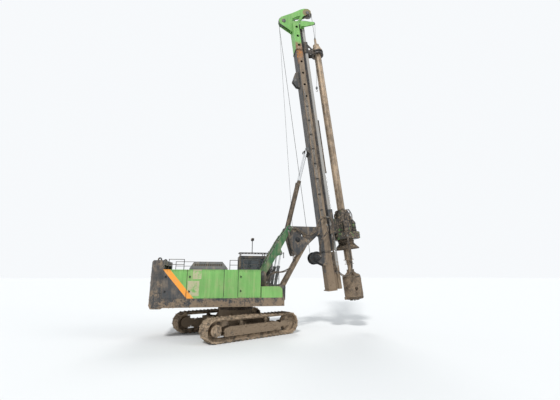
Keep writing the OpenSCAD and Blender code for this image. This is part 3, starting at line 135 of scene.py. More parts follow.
class StageSizes(bpy.types.PropertyGroup):
    """Where the camera stands and how strong the lamps are."""

    camera_place: bpy.props.FloatVectorProperty(
        name="Camera", description="Place of the camera", subtype="XYZ", unit="LENGTH", size=3,
        default=(-1.06, -17.2, 2.85))
    pitch: bpy.props.FloatProperty(
        name="Pitch", description="Upward tilt of the camera", subtype="ANGLE",
        default=math.radians(13.7))
    yaw: bpy.props.FloatProperty(
        name="Yaw", description="Turn of the camera to the right", subtype="ANGLE",
        default=math.radians(11.3))
    lens: bpy.props.FloatProperty(
        name="Lens", description="Focal length in millimetres on a 36 mm sensor", default=19.93)
    sun: bpy.props.FloatProperty(name="Key lamp", description="Strength of the key lamp", default=2.1)
    sky: bpy.props.FloatProperty(name="Sky", description="Strength of the even light", default=0.55)


# Shader maths


class Value:
    """Wraps a socket, so that an expression on values adds its Math nodes."""

    def __init__(self, tree, socket):
        self.tree = tree
        self.socket = socket

    def _math(self, operation, first, second=None, clamp=False):
        node = self.tree.nodes.new("ShaderNodeMath")
        node.operation = operation
        node.use_clamp = clamp
        for slot, term in zip(node.inputs, (first, second)):
            if term is None:
                continue
            if isinstance(term, Value):
                self.tree.links.new(term.socket, slot)
            else:
                slot.default_value = term
        return Value(self.tree, node.outputs[0])

    def __add__(self, other):
        return self._math("ADD", self, other)

    def __sub__(self, other):
        return self._math("SUBTRACT", self, other)

    def __rsub__(self, other):
        return self._math("SUBTRACT", other, self)

    def __mul__(self, other):
        return self._math("MULTIPLY", self, other)

    def __gt__(self, other):
        return self._math("GREATER_THAN", self, other)

    def __lt__(self, other):
        return self._math("LESS_THAN", self, other)

    def __abs__(self):
        return self._math("ABSOLUTE", self)

    def either(self, other):
        """The larger of two values."""
        return self._math("MAXIMUM", self, other)

    def clamped(self):
        """The value held between 0 and 1."""
        return self._math("ADD", self, 0.0, clamp=True)

    __radd__ = __add__
    __rmul__ = __mul__


class Board:
    """One material's node tree, with a method that adds any other node."""

    def __init__(self, name):
        self.material = bpy.data.materials.new(name)
        self.material.use_nodes = True
        self.tree = self.material.node_tree
        self.shader = self.tree.nodes["Principled BSDF"]
        self.place = self.node("ShaderNodeTexCoord").outputs["Object"]

    def node(self, kind, settings=None, values=None):
        """Adds a node: its settings are set first, then the values or links of its sockets."""
        made = self.tree.nodes.new(kind)
        for key, setting in (settings or {}).items():
            setattr(made, key, setting)
        for key, value in (values or {}).items():
            self.feed(made.inputs[key], value)
        return made

    def feed(self, socket, value):
        """Gives a socket a link, a number or a colour."""
        if isinstance(value, Value):
            self.tree.links.new(value.socket, socket)
        elif isinstance(value, bpy.types.NodeSocket):
            self.tree.links.new(value, socket)
        elif socket.type == "RGBA" and len(value) == 3:
            socket.default_value = (*value, 1.0)
        else:
            socket.default_value = value

    def along(self, direction, origin=(0.0, 0.0, 0.0)):
        """Distance of a point from origin, measured along a direction."""
        moved = self.node("ShaderNodeVectorMath", {"operation": "SUBTRACT"},
                          {0: self.place, 1: tuple(origin)})
        dot = self.node("ShaderNodeVectorMath", {"operation": "DOT_PRODUCT"},
                        {0: moved.outputs[0], 1: tuple(direction)})
        return Value(self.tree, dot.outputs["Value"])

    def facing(self, direction):
        """How much the surface faces a direction, from -1 to 1."""
        normal = self.node("ShaderNodeNewGeometry").outputs["Normal"]
        dot = self.node("ShaderNodeVectorMath", {"operation": "DOT_PRODUCT"},
                        {0: normal, 1: tuple(direction)})
        return Value(self.tree, dot.outputs["Value"])

    def noise(self, scale, detail=4.0, roughness=0.6, stretch=(1.0, 1.0, 1.0), move=(0.0, 0.0, 0.0)):
        """Noise of a scale per metre, stretched along the axes."""
        place = self.node("ShaderNodeMapping", None,
                          {"Vector": self.place, "Scale": stretch, "Location": move})
        made = self.node("ShaderNodeTexNoise", None, {"Vector": place.outputs[0], "Scale": scale,
                                                      "Detail": detail, "Roughness": roughness})
        return Value(self.tree, made.outputs["Fac"])

    def step(self, value, low, high):
        """Smooth step that rises from 0 at low to 1 at high."""
        made = self.node("ShaderNodeMapRange", {"interpolation_type": "SMOOTHSTEP"},
                         {"Value": value, "From Min": low, "From Max": high})
        return Value(self.tree, made.outputs["Result"])

    def mix(self, factor, first, second):
        """Colour that goes from first to second with the factor."""
        made = self.node("ShaderNodeMix", {"data_type": "RGBA"})
        self.feed(made.inputs[0], factor)
        self.feed(made.inputs[6], first)
        self.feed(made.inputs[7], second)
        return made.outputs[2]

    def blend(self, factor, first, second):
        """Number that goes from first to second with the factor."""
        return factor * second + (1.0 - factor) * first

    def bump(self, height, distance, strength=1.0):
        """Raises the surface by a height pattern, over a distance in metres."""
        made = self.node("ShaderNodeBump", None,
                         {"Height": height, "Distance": distance, "Strength": strength})
        self.tree.links.new(made.outputs[0], self.shader.inputs["Normal"])

    def finish(self, colour=None, roughness=None, metallic=None, **fixed):
        """Connects the pattern to the shader and sets its fixed values."""
        for socket, value in (("Base Color", colour), ("Roughness", roughness), ("Metallic", metallic)):
            if value is not None:
                self.feed(self.shader.inputs[socket], value)
        for key, value in fixed.items():
            self.shader.inputs[key.replace("_", " ").title().replace("Ior", "IOR")].default_value = value
        return self.material


# Surfaces worked out as arrays. A patch is its points, its quads and one texture place per point


def grid_quads(rows, columns, round_columns):
    """Quads of a grid of points in rows; the columns may close on themselves."""
    row = np.arange(rows - 1)[:, None]
    column = np.arange(columns if round_columns else columns - 1)[None, :]
    beside = (column + 1) % columns
    corners = (row * columns + column, row * columns + beside, (row + 1) * columns + beside,
               (row + 1) * columns + column)
    return np.stack([np.broadcast_to(c, (rows - 1, column.size)) for c in corners], -1).reshape(-1, 4)


def patch(points, round_columns=False, texture=None):
    """A patch from points in rows and columns."""
    rows, columns = points.shape[:2]
    if texture is None:
        places = np.meshgrid(np.linspace(0, 1, rows), np.linspace(0, 1, columns), indexing="ij")
        texture = np.stack(places, -1)
    return points.reshape(-1, 3), grid_quads(rows, columns, round_columns), texture.reshape(-1, 2)


def joined(patches):
    """Several patches as one."""
    counts = np.cumsum([0] + [len(points) for points, _, _ in patches])
    points = np.concatenate([p for p, _, _ in patches])
    quads = np.concatenate([q + start for (_, q, _), start in zip(patches, counts)])
    return points, quads, np.concatenate([t for _, _, t in patches])


def stamped(shape, places, axes=None, sizes=None):
    """Copies of a patch at places. Its Z axis turns to each axis, and sizes scale each copy."""
    points, quads, texture = shape
    places = np.asarray(places, float).reshape(-1, 3)
    count = len(places)
    axes = np.broadcast_to((0.0, 0.0, 1.0) if axes is None else np.asarray(axes, float), (count, 3))
    axes = axes / np.linalg.norm(axes, axis=1, keepdims=True)
    helper = np.where(np.abs(axes[:, :1]) > 0.8, (0.0, 1.0, 0.0), (1.0, 0.0, 0.0))
    side = np.cross(helper, axes)
    side /= np.linalg.norm(side, axis=1, keepdims=True)
    turn = np.stack([side, np.cross(axes, side), axes], -1)
    scale = np.ones(count) if sizes is None else np.asarray(sizes, float)
    moved = np.einsum("kij,nj->kni", turn, points) * scale[:, None, None] + places[:, None]
    shifted = quads[None] + (np.arange(count) * len(points))[:, None, None]
    return moved.reshape(-1, 3), shifted.reshape(-1, 4), np.tile(texture, (count, 1))


def lathe(profile, sides=24):
    """A profile of radius and height turned round Z: x = r cos a, y = r sin a, z = h."""
    profile = np.asarray(profile, float)
    angle = np.arange(sides) / sides * 2 * np.pi
    ring = np.stack([np.cos(angle), np.sin(angle)], -1)
    points = np.concatenate([profile[:, None, :1] * ring[None], np.broadcast_to(
        profile[:, None, 1:], (len(profile), sides, 1))], -1)
    return patch(points, True)


def block(size, round_edge=0.0):
    """A box round the origin with its edges cut back, as a stack of four eight-sided rings."""
    half = np.asarray(size, float) / 2
    cut = max(round_edge, 1e-5)
    x, y = half[0], half[1]
    ring = np.array([(x - cut, -y), (x, -y + cut), (x, y - cut), (x - cut, y), (-x + cut, y), (-x, y - cut),
                     (-x, -y + cut), (-x + cut, -y)])
    inner = ring * (1 - cut / np.array([x, y]))
    levels = [(inner * 0, -half[2]), (inner, -half[2]), (ring, -half[2] + cut), (ring, half[2] - cut),
              (inner, half[2]), (inner * 0, half[2])]
    points = np.stack([np.column_stack([plan, np.full(8, level)]) for plan, level in levels])
    return patch(points, True)


def smooth_path(points, per_span=10):
    """Catmull-Rom curve through the points: each span is a cubic of its four nearest points."""
    p = np.asarray(points, float)
    p = np.vstack([2 * p[0] - p[1], p, 2 * p[-1] - p[-2]])
    a, b, c, d = (p[i:len(p) - 3 + i, None] for i in range(4))
    t = np.linspace(0, 1, per_span, endpoint=False)[None, :, None]
    curve = 0.5 * (2 * b + (c - a) * t + (2 * a - 5 * b + 4 * c - d) * t ** 2
                   + (3 * b - a - 3 * c + d) * t ** 3)
    return np.vstack([curve.reshape(-1, 3), p[-2]])


def path_frames(path):
    """Directions along a path and two across it, by the direction that the path turns in least."""
    along = np.gradient(path, axis=0)
    along /= np.linalg.norm(along, axis=1, keepdims=True)
    least = np.linalg.svd(along, full_matrices=False)[2][-1]
    across = np.cross(along, least)
    across /= np.linalg.norm(across, axis=1, keepdims=True)
    return along, across, np.cross(along, across)


def tube(path, radius, sides=8):
    """A circle of the radius carried along a path, closed at both ends. Texture U is the length."""
    path = np.asarray(path, float)
    _, across, over = path_frames(path)
    radius = np.broadcast_to(np.asarray(radius, float), len(path))
    angle = np.arange(sides) / sides * 2 * np.pi
    rings = path[:, None] + radius[:, None, None] * (
        np.cos(angle)[None, :, None] * across[:, None] + np.sin(angle)[None, :, None] * over[:, None])
    length = np.concatenate([[0], np.cumsum(np.linalg.norm(np.diff(path, axis=0), axis=1))])
    texture = np.stack(np.broadcast_arrays(length[:, None], (np.arange(sides) / sides)[None, :]), -1)
    first, last = (np.broadcast_to(point, (1, sides, 3)) for point in (path[0], path[-1]))
    rings = np.concatenate([first, rings, last])
    texture = np.concatenate([texture[:1], texture, texture[-1:]])
    return patch(rings, True, texture)


SHARP_ANGLE = math.radians(35)


def make_piece(name, shape, finish, body=None, smooth=True):
    """A mesh object at the origin from a patch or a list of them, with its faces turned outwards."""
    points, quads, texture = joined(shape) if isinstance(shape, list) else shape
    mesh = bpy.data.meshes.new(name)
    mesh.from_pydata(points.tolist(), [], quads.tolist())
    layer = mesh.uv_layers.new(name="UVMap")
    corner = np.empty(len(mesh.loops), int)
    mesh.loops.foreach_get("vertex_index", corner)
    layer.data.foreach_set("uv", texture[corner].astype(np.float32).ravel())
    mesh.materials.append(MATERIALS[finish])
    mesh.polygons.foreach_set("use_smooth", [smooth] * len(mesh.polygons))
    built = bmesh.new()
    built.from_mesh(mesh)
    bmesh.ops.remove_doubles(built, verts=built.verts, dist=1e-5)
    bmesh.ops.dissolve_degenerate(built, edges=built.edges, dist=1e-6)
    bmesh.ops.recalc_face_normals(built, faces=built.faces)
    built.to_mesh(mesh)
    built.free()
    made = bpy.data.objects.new(name, mesh)
    bpy.context.scene.collection.objects.link(made)
    if smooth:
        mesh.set_sharp_from_angle(angle=SHARP_ANGLE)
    if body:
        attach(made, body)
    return made


def make_bolts(name, shape, body):
    """A piece of bolts with flat faces."""
    return make_piece(name, shape, "bolt", body, smooth=False)


# Small shapes that several pieces share


def bolt_head(radius):
    """A hexagon head on its washer, standing on Z = 0."""
    washer = 1.45
    head = lathe([(0, 0.78 * radius), (0.86 * radius, 0.78 * radius), (radius, 0.66 * radius),
                  (radius, 0)], 6)
    disc = lathe([(washer * radius, 0), (washer * radius, 0.14 * radius), (0.9 * radius, 0.16 * radius)], 14)
    return joined([head, disc])


def mast_block(low, high, cut=0.004):
    """A block between two corners given ahead of, left of and above the mast's pivot."""
    low, high = np.array(low, float), np.array(high, float)
    size = high - low
    return stamped(block((size[1], size[0], size[2]), cut), on_mast(*((low + high) / 2)), MAST_UP)


def world_block(low, high, cut=0.004):
    """A block between two corners."""
    low, high = np.array(low, float), np.array(high, float)
    points, quads, texture = block(high - low, cut)
    return points + (low + high) / 2, quads, texture


# Each CAD node's surface for casting lines on it, made when it is first asked for
SURFACES = {}


def touch(node, start, direction):
    """Place and normal where a line from start first meets a CAD node, or None where it misses."""
    if node not in SURFACES:
        mesh = frame["nodes"][node].data
        SURFACES[node] = BVHTree.FromPolygons([v.co for v in mesh.vertices],
                                              [f.vertices for f in mesh.polygons])
    place, normal, _, _ = SURFACES[node].ray_cast(Vector(start), Vector(direction))
    return None if place is None else (np.array(place), np.array(normal))


def laid(node, starts, way, lift):
    """Points on a CAD node where lines from the starts meet it, lifted off its surface."""
    return np.array([place + normal * lift for place, normal in
                     (hit for hit in (touch(node, start, way) for start in starts) if hit)])


def round_centre(centre, radius, degrees):
    """Points on a circle round a centre in the mast's plane, by their angles from straight ahead."""
    return [centre + radius * (math.cos(a) * MAST_FORE + math.sin(a) * MAST_UP) for a in np.radians(degrees)]


# Finishes

# The front sheave's distances ahead of and above the mast's pivot
FRONT_SHEAVE = (1.402, 15.06)


def shade(colour, factor):
    """A colour made lighter or darker."""
    return tuple(min(1.0, part * factor) for part in colour)


def weathered(board, paint, colours, dust=0.5, mud=0.3, mud_top=0.0, rust=0.3, gloss=0.42, pattern=None):
    """Outdoor paint: faded in patches and rain streaks, chipped to rust, with dust and dried mud."""
    height = board.along((0, 0, 1))
    broad = board.noise(0.55, 3)
    patches = board.noise(3.1, 5, 0.62, move=(3, 1, 2))
    streaks = board.noise(6.0, 4, 0.62, stretch=(1, 1, 0.09))
    fine = board.noise(26, 6, 0.7)
    grit = board.noise(140, 3, 0.7)
    faded = board.step(broad * 0.5 + streaks * 0.5, 0.38, 0.62)
    colour = board.mix(faded, shade(paint, 0.80), shade(paint, 1.10))
    if pattern:
        colour = pattern(board, colour, colours)
    chips = board.step(board.noise(11, 7, 0.74, move=(7, 0, 0)), 0.70 - 0.10 * rust, 0.72 - 0.10 * rust)
    colour = board.mix(chips, colour, board.mix(fine, shade(colours.rust, 0.6), shade(colours.rust, 1.5)))
    runs = board.step(board.noise(9.0, 4, 0.65, stretch=(1, 1, 0.05), move=(0, 5, 0)), 0.60, 0.80)
    colour = board.mix(runs * (0.55 * rust), colour, shade(colours.rust, 0.9))
    upward = board.step(board.facing((0, 0, 1)), 0.25, 0.9)
    dusty = board.step(streaks * 0.45 + patches * 0.35 + fine * 0.20 + upward * 0.12, 0.44, 0.70) * dust
    colour = board.mix(dusty, colour, shade(colours.mud, 1.35))
    low = 1.0 - board.step(height, mud_top - 0.9, mud_top + 0.5)
    splash = patches * 0.45 + fine * 0.35 + broad * 0.20 + low * 0.16
    edge = 0.66 - 0.22 * mud
    caked = board.step(splash, edge, edge + 0.045)
    colour = board.mix(caked, colour, board.mix(fine, colours.wet_mud, shade(colours.mud, 1.25)))
    rough = board.blend(caked.either(dusty).either(chips), gloss + 0.10 * fine, 0.93)
    board.bump(caked * (0.6 + 0.5 * fine) + 0.05 * grit - 0.20 * chips, 0.006, 0.8)
    return board.finish(colour, rough)


def panel_marks(board, colour, colours):
    """The dark triangle, its orange stripe, two bleached patches and the joints on the housing's sides.

    A point is behind a slanted edge when x < foot - (z - low) * slant.
    """
    x, y, z = board.along((1, 0, 0)), board.along((0, 1, 0)), board.along((0, 0, 1))
    low, slant = 1.88, 0.87
    outside = abs(y) > 1.42
    behind = x + (z - low) * slant
    side = outside * (z < 3.14) * (x < -0.72)
    stripe = side * (behind > -2.44) * (behind < -2.12)
    dark = side * (behind < -2.44)
    right = side * (y < 0.0)
    worn = board.step(board.noise(7, 6, 0.7), 0.36, 0.52)
    lower_patch = right * (x > -2.36) * (x < -1.83) * (z > 1.92) * (z < 2.60)
    upper_patch = right * (x > -2.15) * (x < -1.75) * (z > 2.69)
    bleached = (lower_patch + upper_patch).clamped() * worn
    colour = board.mix(bleached * 0.80, colour, (0.52, 0.45, 0.30))
    colour = board.mix(dark, colour, shade(colours.dark_grey, 1.5))
    colour = board.mix(stripe, colour, colours.orange)
    faces = outside * (z > 1.84) * (z < 3.16)
    joint_half = 0.013
    right_joints = sum(abs(x - place) < joint_half for place in (-2.41, -0.68, 0.0, 1.12)) * (y < 0.0)
    left_joints = sum(abs(x - place) < joint_half for place in (-2.0, -0.5, 0.05)) * (y > 0.0)
    return board.mix(faces * (right_joints + left_joints).clamped() * 0.9, colour, (0.006, 0.006, 0.006))


# Distances ahead of the mast's pivot: the box's front, the rails' foot and the rails' rubbed front
BOX_FRONT, RAIL_FOOT, RAIL_FRONT = 0.62, 0.585, 0.757


def rubbed_rails(board, colours):
    """Steel with fine scratches along Z."""
    scratch = board.noise(30, 4, 0.6, stretch=(1, 1, 0.02))
    return board.mix(scratch, shade(colours.steel, 0.75), shade(colours.steel, 1.3))


def mast_marks(board, colour, colours):
    """Dark rear face with the slanted rear plates kept dark as painted shade, brown sides with a rusty band near
    the top, the recess before the rails painted near black as painted shade, and rubbed rails.
    """
    ahead = board.along(MAST_FORE, MAST_PIN)
    up = board.along(MAST_UP, MAST_PIN)
    side = board.step(abs(board.facing((0, 1, 0))), 0.5, 0.8)
    wear = board.noise(2.3, 6, 0.66, stretch=(1, 1, 0.25))
    streak = board.noise(5.0, 6, 0.7, stretch=(1, 1, 0.10), move=(1, 7, 0))
    stained = board.step(wear * 0.5 + streak * 0.5, 0.40, 0.62)
    brown = board.mix(stained, shade(colours.wet_mud, 0.55), shade(colours.mud, 1.05))
    # Painted shade: the brown stops 0.23 m ahead of the pivot, so the slanted rear plates keep the dark paint.
    colour = board.mix(side * (ahead < BOX_FRONT) * (ahead > 0.23), colour, brown)
    ragged = up + (board.noise(3.5, 6, 0.7) - 0.5) * 1.6 - ahead * 1.2
    faded = board.step(board.noise(9, 6, 0.7), 0.40, 0.60)
    orange = board.mix(faded, shade(colours.rust, 1.1), shade(colours.orange, 0.5))
    spots = board.step(board.noise(6, 6, 0.72, move=(3, 3, 0)), 0.38, 0.55)
    band = side * board.step(ragged, 10.55, 11.15) * (ahead < 0.60) * (0.25 + 0.75 * spots)
    colour = board.mix(band, colour, orange)
    # Painted shade: the recess between the side plates and the rails is painted near black.
    painted_recess_shade = (ahead > RAIL_FOOT) * (ahead < RAIL_FRONT)
    colour = board.mix(painted_recess_shade, colour, shade(colours.black, 1.6))
    return board.mix((ahead > RAIL_FRONT) * 0.92, colour, rubbed_rails(board, colours))


def head_marks(board, colour, colours):
    """Grey rails, a rusty foot and the recess before the rails painted near black as painted shade, on the green
    top section.
    """
    ahead = board.along(MAST_FORE, MAST_PIN)
    up = board.along(MAST_UP, MAST_PIN)
    foot = board.step(up + (board.noise(3.5, 6, 0.7) - 0.5) * 1.0, 12.25, 12.65)
    side = board.step(abs(board.facing((0, 1, 0))), 0.5, 0.8) * (ahead < 0.60)
    patches = board.step(board.noise(8, 6, 0.7), 0.42, 0.60)
    rusty = board.mix(patches, shade(colours.rust, 1.2), shade(colours.mud, 1.1))
    colour = board.mix(side * (1.0 - foot), colour, rusty)
    between = abs(board.along((0, 1, 0))) < 0.356
    # Painted shade: the recess before the rails, between the side plates, is painted near black.
    painted_recess_shade = (ahead > RAIL_FOOT) * (ahead < RAIL_FRONT) * between
    colour = board.mix(painted_recess_shade, colour, shade(colours.black, 1.6))
    return board.mix((ahead > RAIL_FRONT) * between * (up < 13.98), colour, rubbed_rails(board, colours))


def cover_marks(board, colour, colours):
    """The head's worn brown cover round the front sheave: inside a ragged circle about its pin."""
    ahead = board.along(MAST_FORE, MAST_PIN) - FRONT_SHEAVE[0]
    up = board.along(MAST_UP, MAST_PIN) - FRONT_SHEAVE[1]
    ragged = (board.noise(5, 6, 0.7) - 0.5) * 0.10
    inside = 1.0 - board.step(ahead * ahead + up * up + ragged, 0.090, 0.125)
    brown = board.mix(board.noise(9, 6, 0.7), shade(colours.rust, 1.1), shade(colours.mud, 0.9))
    return board.mix(inside * 0.85, colour, brown)


def vent_mesh(board, colours):
    """Dark wire mesh by the sines of length and height, with dust in it."""
    along, height = board.along((1, 0, 0)) * 700.0, board.along((0, 0, 1)) * 700.0
    wires = abs(along._math("SINE", along)).either(abs(height._math("SINE", height)))
    wire = board.step(wires, 0.80, 0.95)
    colour = board.mix(wire, (0.004, 0.004, 0.004),
                       board.mix(board.noise(12, 5), (0.03, 0.03, 0.03), colours.mud))
    board.bump(wire, 0.002, 0.7)
    return board.finish(colour, 0.85)


def worn_steel(board, colour, colours, mud=0.4, gloss=0.45, bright=0.35):
    """Rubbed machine steel: long scratches along Z, grease stains and dried mud."""
    scratch = board.noise(55, 4, 0.6, stretch=(1, 1, 0.03))
    stains = board.noise(2.4, 6, 0.68)
    fine = board.noise(24, 6, 0.7)
    grit = board.noise(120, 3, 0.7)
    streaks = board.noise(3.2, 6, 0.7, stretch=(1, 1, 0.14), move=(6, 1, 0))
    stained = board.step(stains * 0.5 + streaks * 0.5, 0.38, 0.62)
    base = board.mix(stained, shade(colour, 0.38), shade(colour, 1.2))
    base = board.mix(board.step(scratch, 0.50, 0.72) * bright, base, colours.steel)
    rusty = board.step(board.noise(8, 6, 0.72, move=(4, 0, 0)), 0.60, 0.68)
    base = board.mix(rusty * 0.7, base, colours.rust)
    edge = 0.64 - 0.22 * mud
    caked = board.step(stains * 0.5 + fine * 0.5, edge, edge + 0.05)
    base = board.mix(caked, base, board.mix(fine, shade(colours.wet_mud, 1.2), shade(colours.mud, 1.2)))
    rough = board.blend(caked, gloss + 0.25 * stains, 0.94)
    board.bump(caked * (0.6 + 0.4 * fine) + 0.10 * scratch + 0.05 * grit, 0.005, 0.7)
    return board.finish(base, rough, 0.55 * (1.0 - caked))


def caked_track(board, colours):
    """Track steel under damp and dried mud."""
    lumps = board.noise(5.5, 7, 0.68)
    fine = board.noise(34, 5, 0.7)
    cover = board.step(lumps * 0.6 + fine * 0.4, 0.38, 0.47)
    steel = board.mix(fine, shade(colours.wet_mud, 0.5), shade(colours.steel, 0.5))
    mud = board.mix(board.step(lumps, 0.35, 0.62), shade(colours.wet_mud, 1.15), shade(colours.mud, 1.45))
    colour = board.mix(cover, steel, mud)
    board.bump(cover * (0.5 + lumps * 0.6) + 0.15 * fine, 0.02, 0.8)
    return board.finish(colour, board.blend(cover, 0.55, 0.95), 0.5 * (1.0 - cover))


def chrome(board, colours):
    """Plated rod with patches of fine dust."""
    dust = board.step(board.noise(12, 6, 0.7), 0.52, 0.75) * 0.45
    colour = board.mix(dust, (0.72, 0.73, 0.74), shade(colours.mud, 1.3))
    return board.finish(colour, board.blend(dust, 0.16, 0.8), 1.0 - dust)


def tinted_glass(board, colours):
    """Tinted pane with dust that lies thicker towards its foot."""
    height = board.along((0, 0, 1))
    dust = board.step(board.noise(5, 6, 0.7) - 0.25 * board.step(height, 2.9, 3.6), 0.30, 0.72) * 0.55
    colour = board.mix(dust, (0.045, 0.06, 0.065), shade(colours.mud, 1.2))
    return board.finish(colour, board.blend(dust, 0.04, 0.7), alpha=0.62, specular_ior_level=0.6)


def wire_rope(board, colours, pitch):
    """Laid rope: six strands by the sine of length over pitch plus the turn round the rope, darker in the grooves
    between strands as painted shade and lighter on their crests as painted highlight.
    """
    split = board.node("ShaderNodeSeparateXYZ", None,
                       {0: board.node("ShaderNodeUVMap", {"uv_map": "UVMap"}).outputs[0]})
    length, turn = Value(board.tree, split.outputs[0]), Value(board.tree, split.outputs[1])
    strands = 6
    lay = (length * (1 / pitch) + turn) * (2 * math.pi * strands)
    ridge = lay._math("SINE", lay) * 0.5 + 0.5
    grease = board.noise(7, 5, 0.65)
    # Painted shade in the grooves and painted highlight on the strands' crests, mixed with grease stains.
    colour = board.mix(ridge * 0.6 + grease * 0.4, shade(colours.steel, 0.12), shade(colours.steel, 0.62))
    board.bump(ridge, pitch * 0.03, 0.9)
    return board.finish(colour, 0.55 + 0.3 * grease, 0.6 * ridge)


def rubber_hose(board, colours):
    """Black hydraulic hose with dust on top and rubbed mud."""
    upward = board.step(board.facing((0, 0, 1)), -0.35, 0.7)
    dust = board.step(board.noise(9, 6, 0.7), 0.34, 0.66) * (0.30 + 0.62 * upward)
    colour = board.mix(dust.clamped(), (0.012, 0.012, 0.013), shade(colours.mud, 1.25))
    return board.finish(colour, board.blend(dust, 0.42, 0.95))


def seat_fabric(board, colours):
    """Dark woven seat cloth by two crossed sines."""
    warp = board.along((0, 1, 0)) * 2600.0
    weft = board.along((1, 0, 1)) * 2600.0
    weave = warp._math("SINE", warp) * weft._math("SINE", weft)
    rub = board.noise(18, 4)
    colour = board.mix(weave * 0.3 + rub * 0.5, (0.010, 0.010, 0.012), (0.055, 0.055, 0.06))
    board.bump(weave, 0.0006, 0.6)
    return board.finish(colour, 0.85, sheen_weight=0.25)


def mirror_glass(board, colours):
    """Mirror with dust."""
    dust = board.step(board.noise(22, 5, 0.7), 0.40, 0.75) * 0.5
    colour = board.mix(dust, (0.80, 0.82, 0.84), shade(colours.mud, 1.3))
    return board.finish(colour, board.blend(dust, 0.05, 0.8), 1.0 - dust)


def drive_paint(board, colours):
    """Dark grease and mud on the drive, with what is left of its green paint and pale dried splashes."""
    broad = board.noise(1.6, 5, 0.65)
    fine = board.noise(22, 6, 0.7)
    runs = board.noise(7.0, 5, 0.68, stretch=(1, 1, 0.22), move=(2, 4, 0))
    grease = board.mix(fine, (0.012, 0.011, 0.010), (0.060, 0.050, 0.040))
    green = board.step(board.noise(2.2, 6, 0.7, move=(5, 2, 9)), 0.56, 0.62)
    colour = board.mix(green * 0.75, grease, shade(colours.green, 0.55))
    pale = board.step(runs * 0.6 + fine * 0.4, 0.50, 0.62)
    colour = board.mix(pale * 0.85, colour,
                       board.mix(broad, shade(colours.mud, 0.75), shade(colours.mud, 1.5)))
    board.bump(pale * 0.6 + fine * 0.5, 0.008, 0.8)
    return board.finish(colour, board.blend(pale, 0.45, 0.95), 0.25 * (1.0 - pale))


def lamp_lens(board, colours):
    """Moulded lens with fine ribs."""
    across = board.along((0, 1, 0)) * 420.0
    ribs = across._math("SINE", across)
    dirt = board.step(board.noise(20, 5, 0.7), 0.45, 0.7) * 0.5
    board.bump(ribs, 0.002, 0.6)
    colour = board.mix(dirt, (0.62, 0.64, 0.62), colours.mud)
    return board.finish(colour, board.blend(dirt, 0.12, 0.8), coat_weight=0.4)


def signal_lens(board, colours):
    """Amber signal lens."""
    dirt = board.step(board.noise(20, 5, 0.7), 0.45, 0.7) * 0.4
    colour = board.mix(dirt, (0.85, 0.25, 0.02), colours.mud)
    return board.finish(colour, board.blend(dirt, 0.15, 0.8), coat_weight=0.4)


def dry_mud(board, colours):
    """Lumps of dried mud, cracked at the surface."""
    lumps = board.noise(9, 7, 0.7)
    fine = board.noise(60, 4, 0.7)
    colour = board.mix(lumps * 0.7 + fine * 0.3, colours.wet_mud, shade(colours.mud, 1.3))
    board.bump(lumps * 0.7 + fine * 0.3, 0.015, 0.9)
    return board.finish(colour, 0.96)


# Every finish by the name of its slot, or of the node or piece that has its own
MATERIALS = {}


def make_materials(colours, lines):
    """Fills MATERIALS. A pattern adds marks to the paint before the rust, dust and mud."""
    grey, mud, green = colours.dark_grey, colours.mud, colours.green
    paints = {  # paint, dust, mud, height that mud reaches, rust, roughness and pattern
        "green_paint": (green, 0.46, 0.20, 1.75, 0.42, 0.44, panel_marks),
        "dark_green_paint": (colours.dark_green, 0.60, 0.42, 2.9, 0.5, 0.45),
        "dark_grey_paint": (shade(grey, 1.25), 0.66, 0.55, 1.75, 0.5, 0.5),
        "mid_grey_paint": (colours.mid_grey, 0.55, 0.30, 1.6, 0.35, 0.45),
        "black_paint": (colours.black, 0.42, 0.25, 1.6, 0.3, 0.42),
        "weathered_brown": (shade(mud, 0.45), 0.7, 0.8, 1.5, 1.0, 0.6),
        "mast_lower": (shade(grey, 1.4), 0.55, 0.55, 3.4, 0.6, 0.5, mast_marks),
        "mast_main": (shade(grey, 1.3), 0.45, 0.22, 0.0, 0.6, 0.5, mast_marks),
        "mast_top": (green, 0.30, 0.10, 0.0, 0.45, 0.42, head_marks),
        "mast_head": (green, 0.30, 0.10, 0.0, 0.40, 0.40, cover_marks),
    }
    steels = {  # colour, mud, roughness and share of bright scratches
        "muddy_steel": (shade(mud, 0.34), 0.55, 0.5, 0.30),
        "kelly_steel": (shade(mud, 1.35), 0.34, 0.40, 0.75),
        "drum_black": (shade(grey, 0.8), 0.25, 0.5, 0.2),
        "fitting": (shade(colours.steel, 0.8), 0.4, 0.4, 0.5),
        "drive_case": (shade(grey, 1.3), 0.55, 0.5, 0.2),
        "bolt": (shade(grey, 2.0), 0.35, 0.45, 0.5),
    }
    others = {
        "track_steel": caked_track, "chrome_rod": chrome, "cab_glazing": tinted_glass,
        "seat_cover": seat_fabric, "vent_mesh": vent_mesh, "hose": rubber_hose, "hose_rubber": rubber_hose,
        "mirror": mirror_glass, "rotary_drive": drive_paint, "lens": lamp_lens, "signal": signal_lens,
        "dried_mud": dry_mud,
    }
    for name, (paint, *rest) in paints.items():
        MATERIALS[name] = weathered(Board(name), paint, colours, *rest)
    for name, (colour, *rest) in steels.items():
        MATERIALS[name] = worn_steel(Board(name), colour, colours, *rest)
    for name, make in others.items():
        MATERIALS[name] = make(Board(name), colours)
    for name, rope in (("rope", lines.main_rope), ("small_rope", lines.small_rope)):
        MATERIALS[name] = wire_rope(Board(name), colours, 9 * rope)


# Ropes

# Bottom of the sheaves' grooves
GROOVE = 0.306


def arc_on_mast(centre, radius, start, end, left, count=14):
    """Points on a circle in the mast's plane: fore = cf + r cos a, up = cu + r sin a, in degrees."""
    angle = np.radians(np.linspace(start, end, count))[:, None]
    fore = centre[0] + radius * np.cos(angle)
    up = centre[1] + radius * np.sin(angle)
    return MAST_PIN + fore * MAST_FORE + up * MAST_UP + left * LEFT


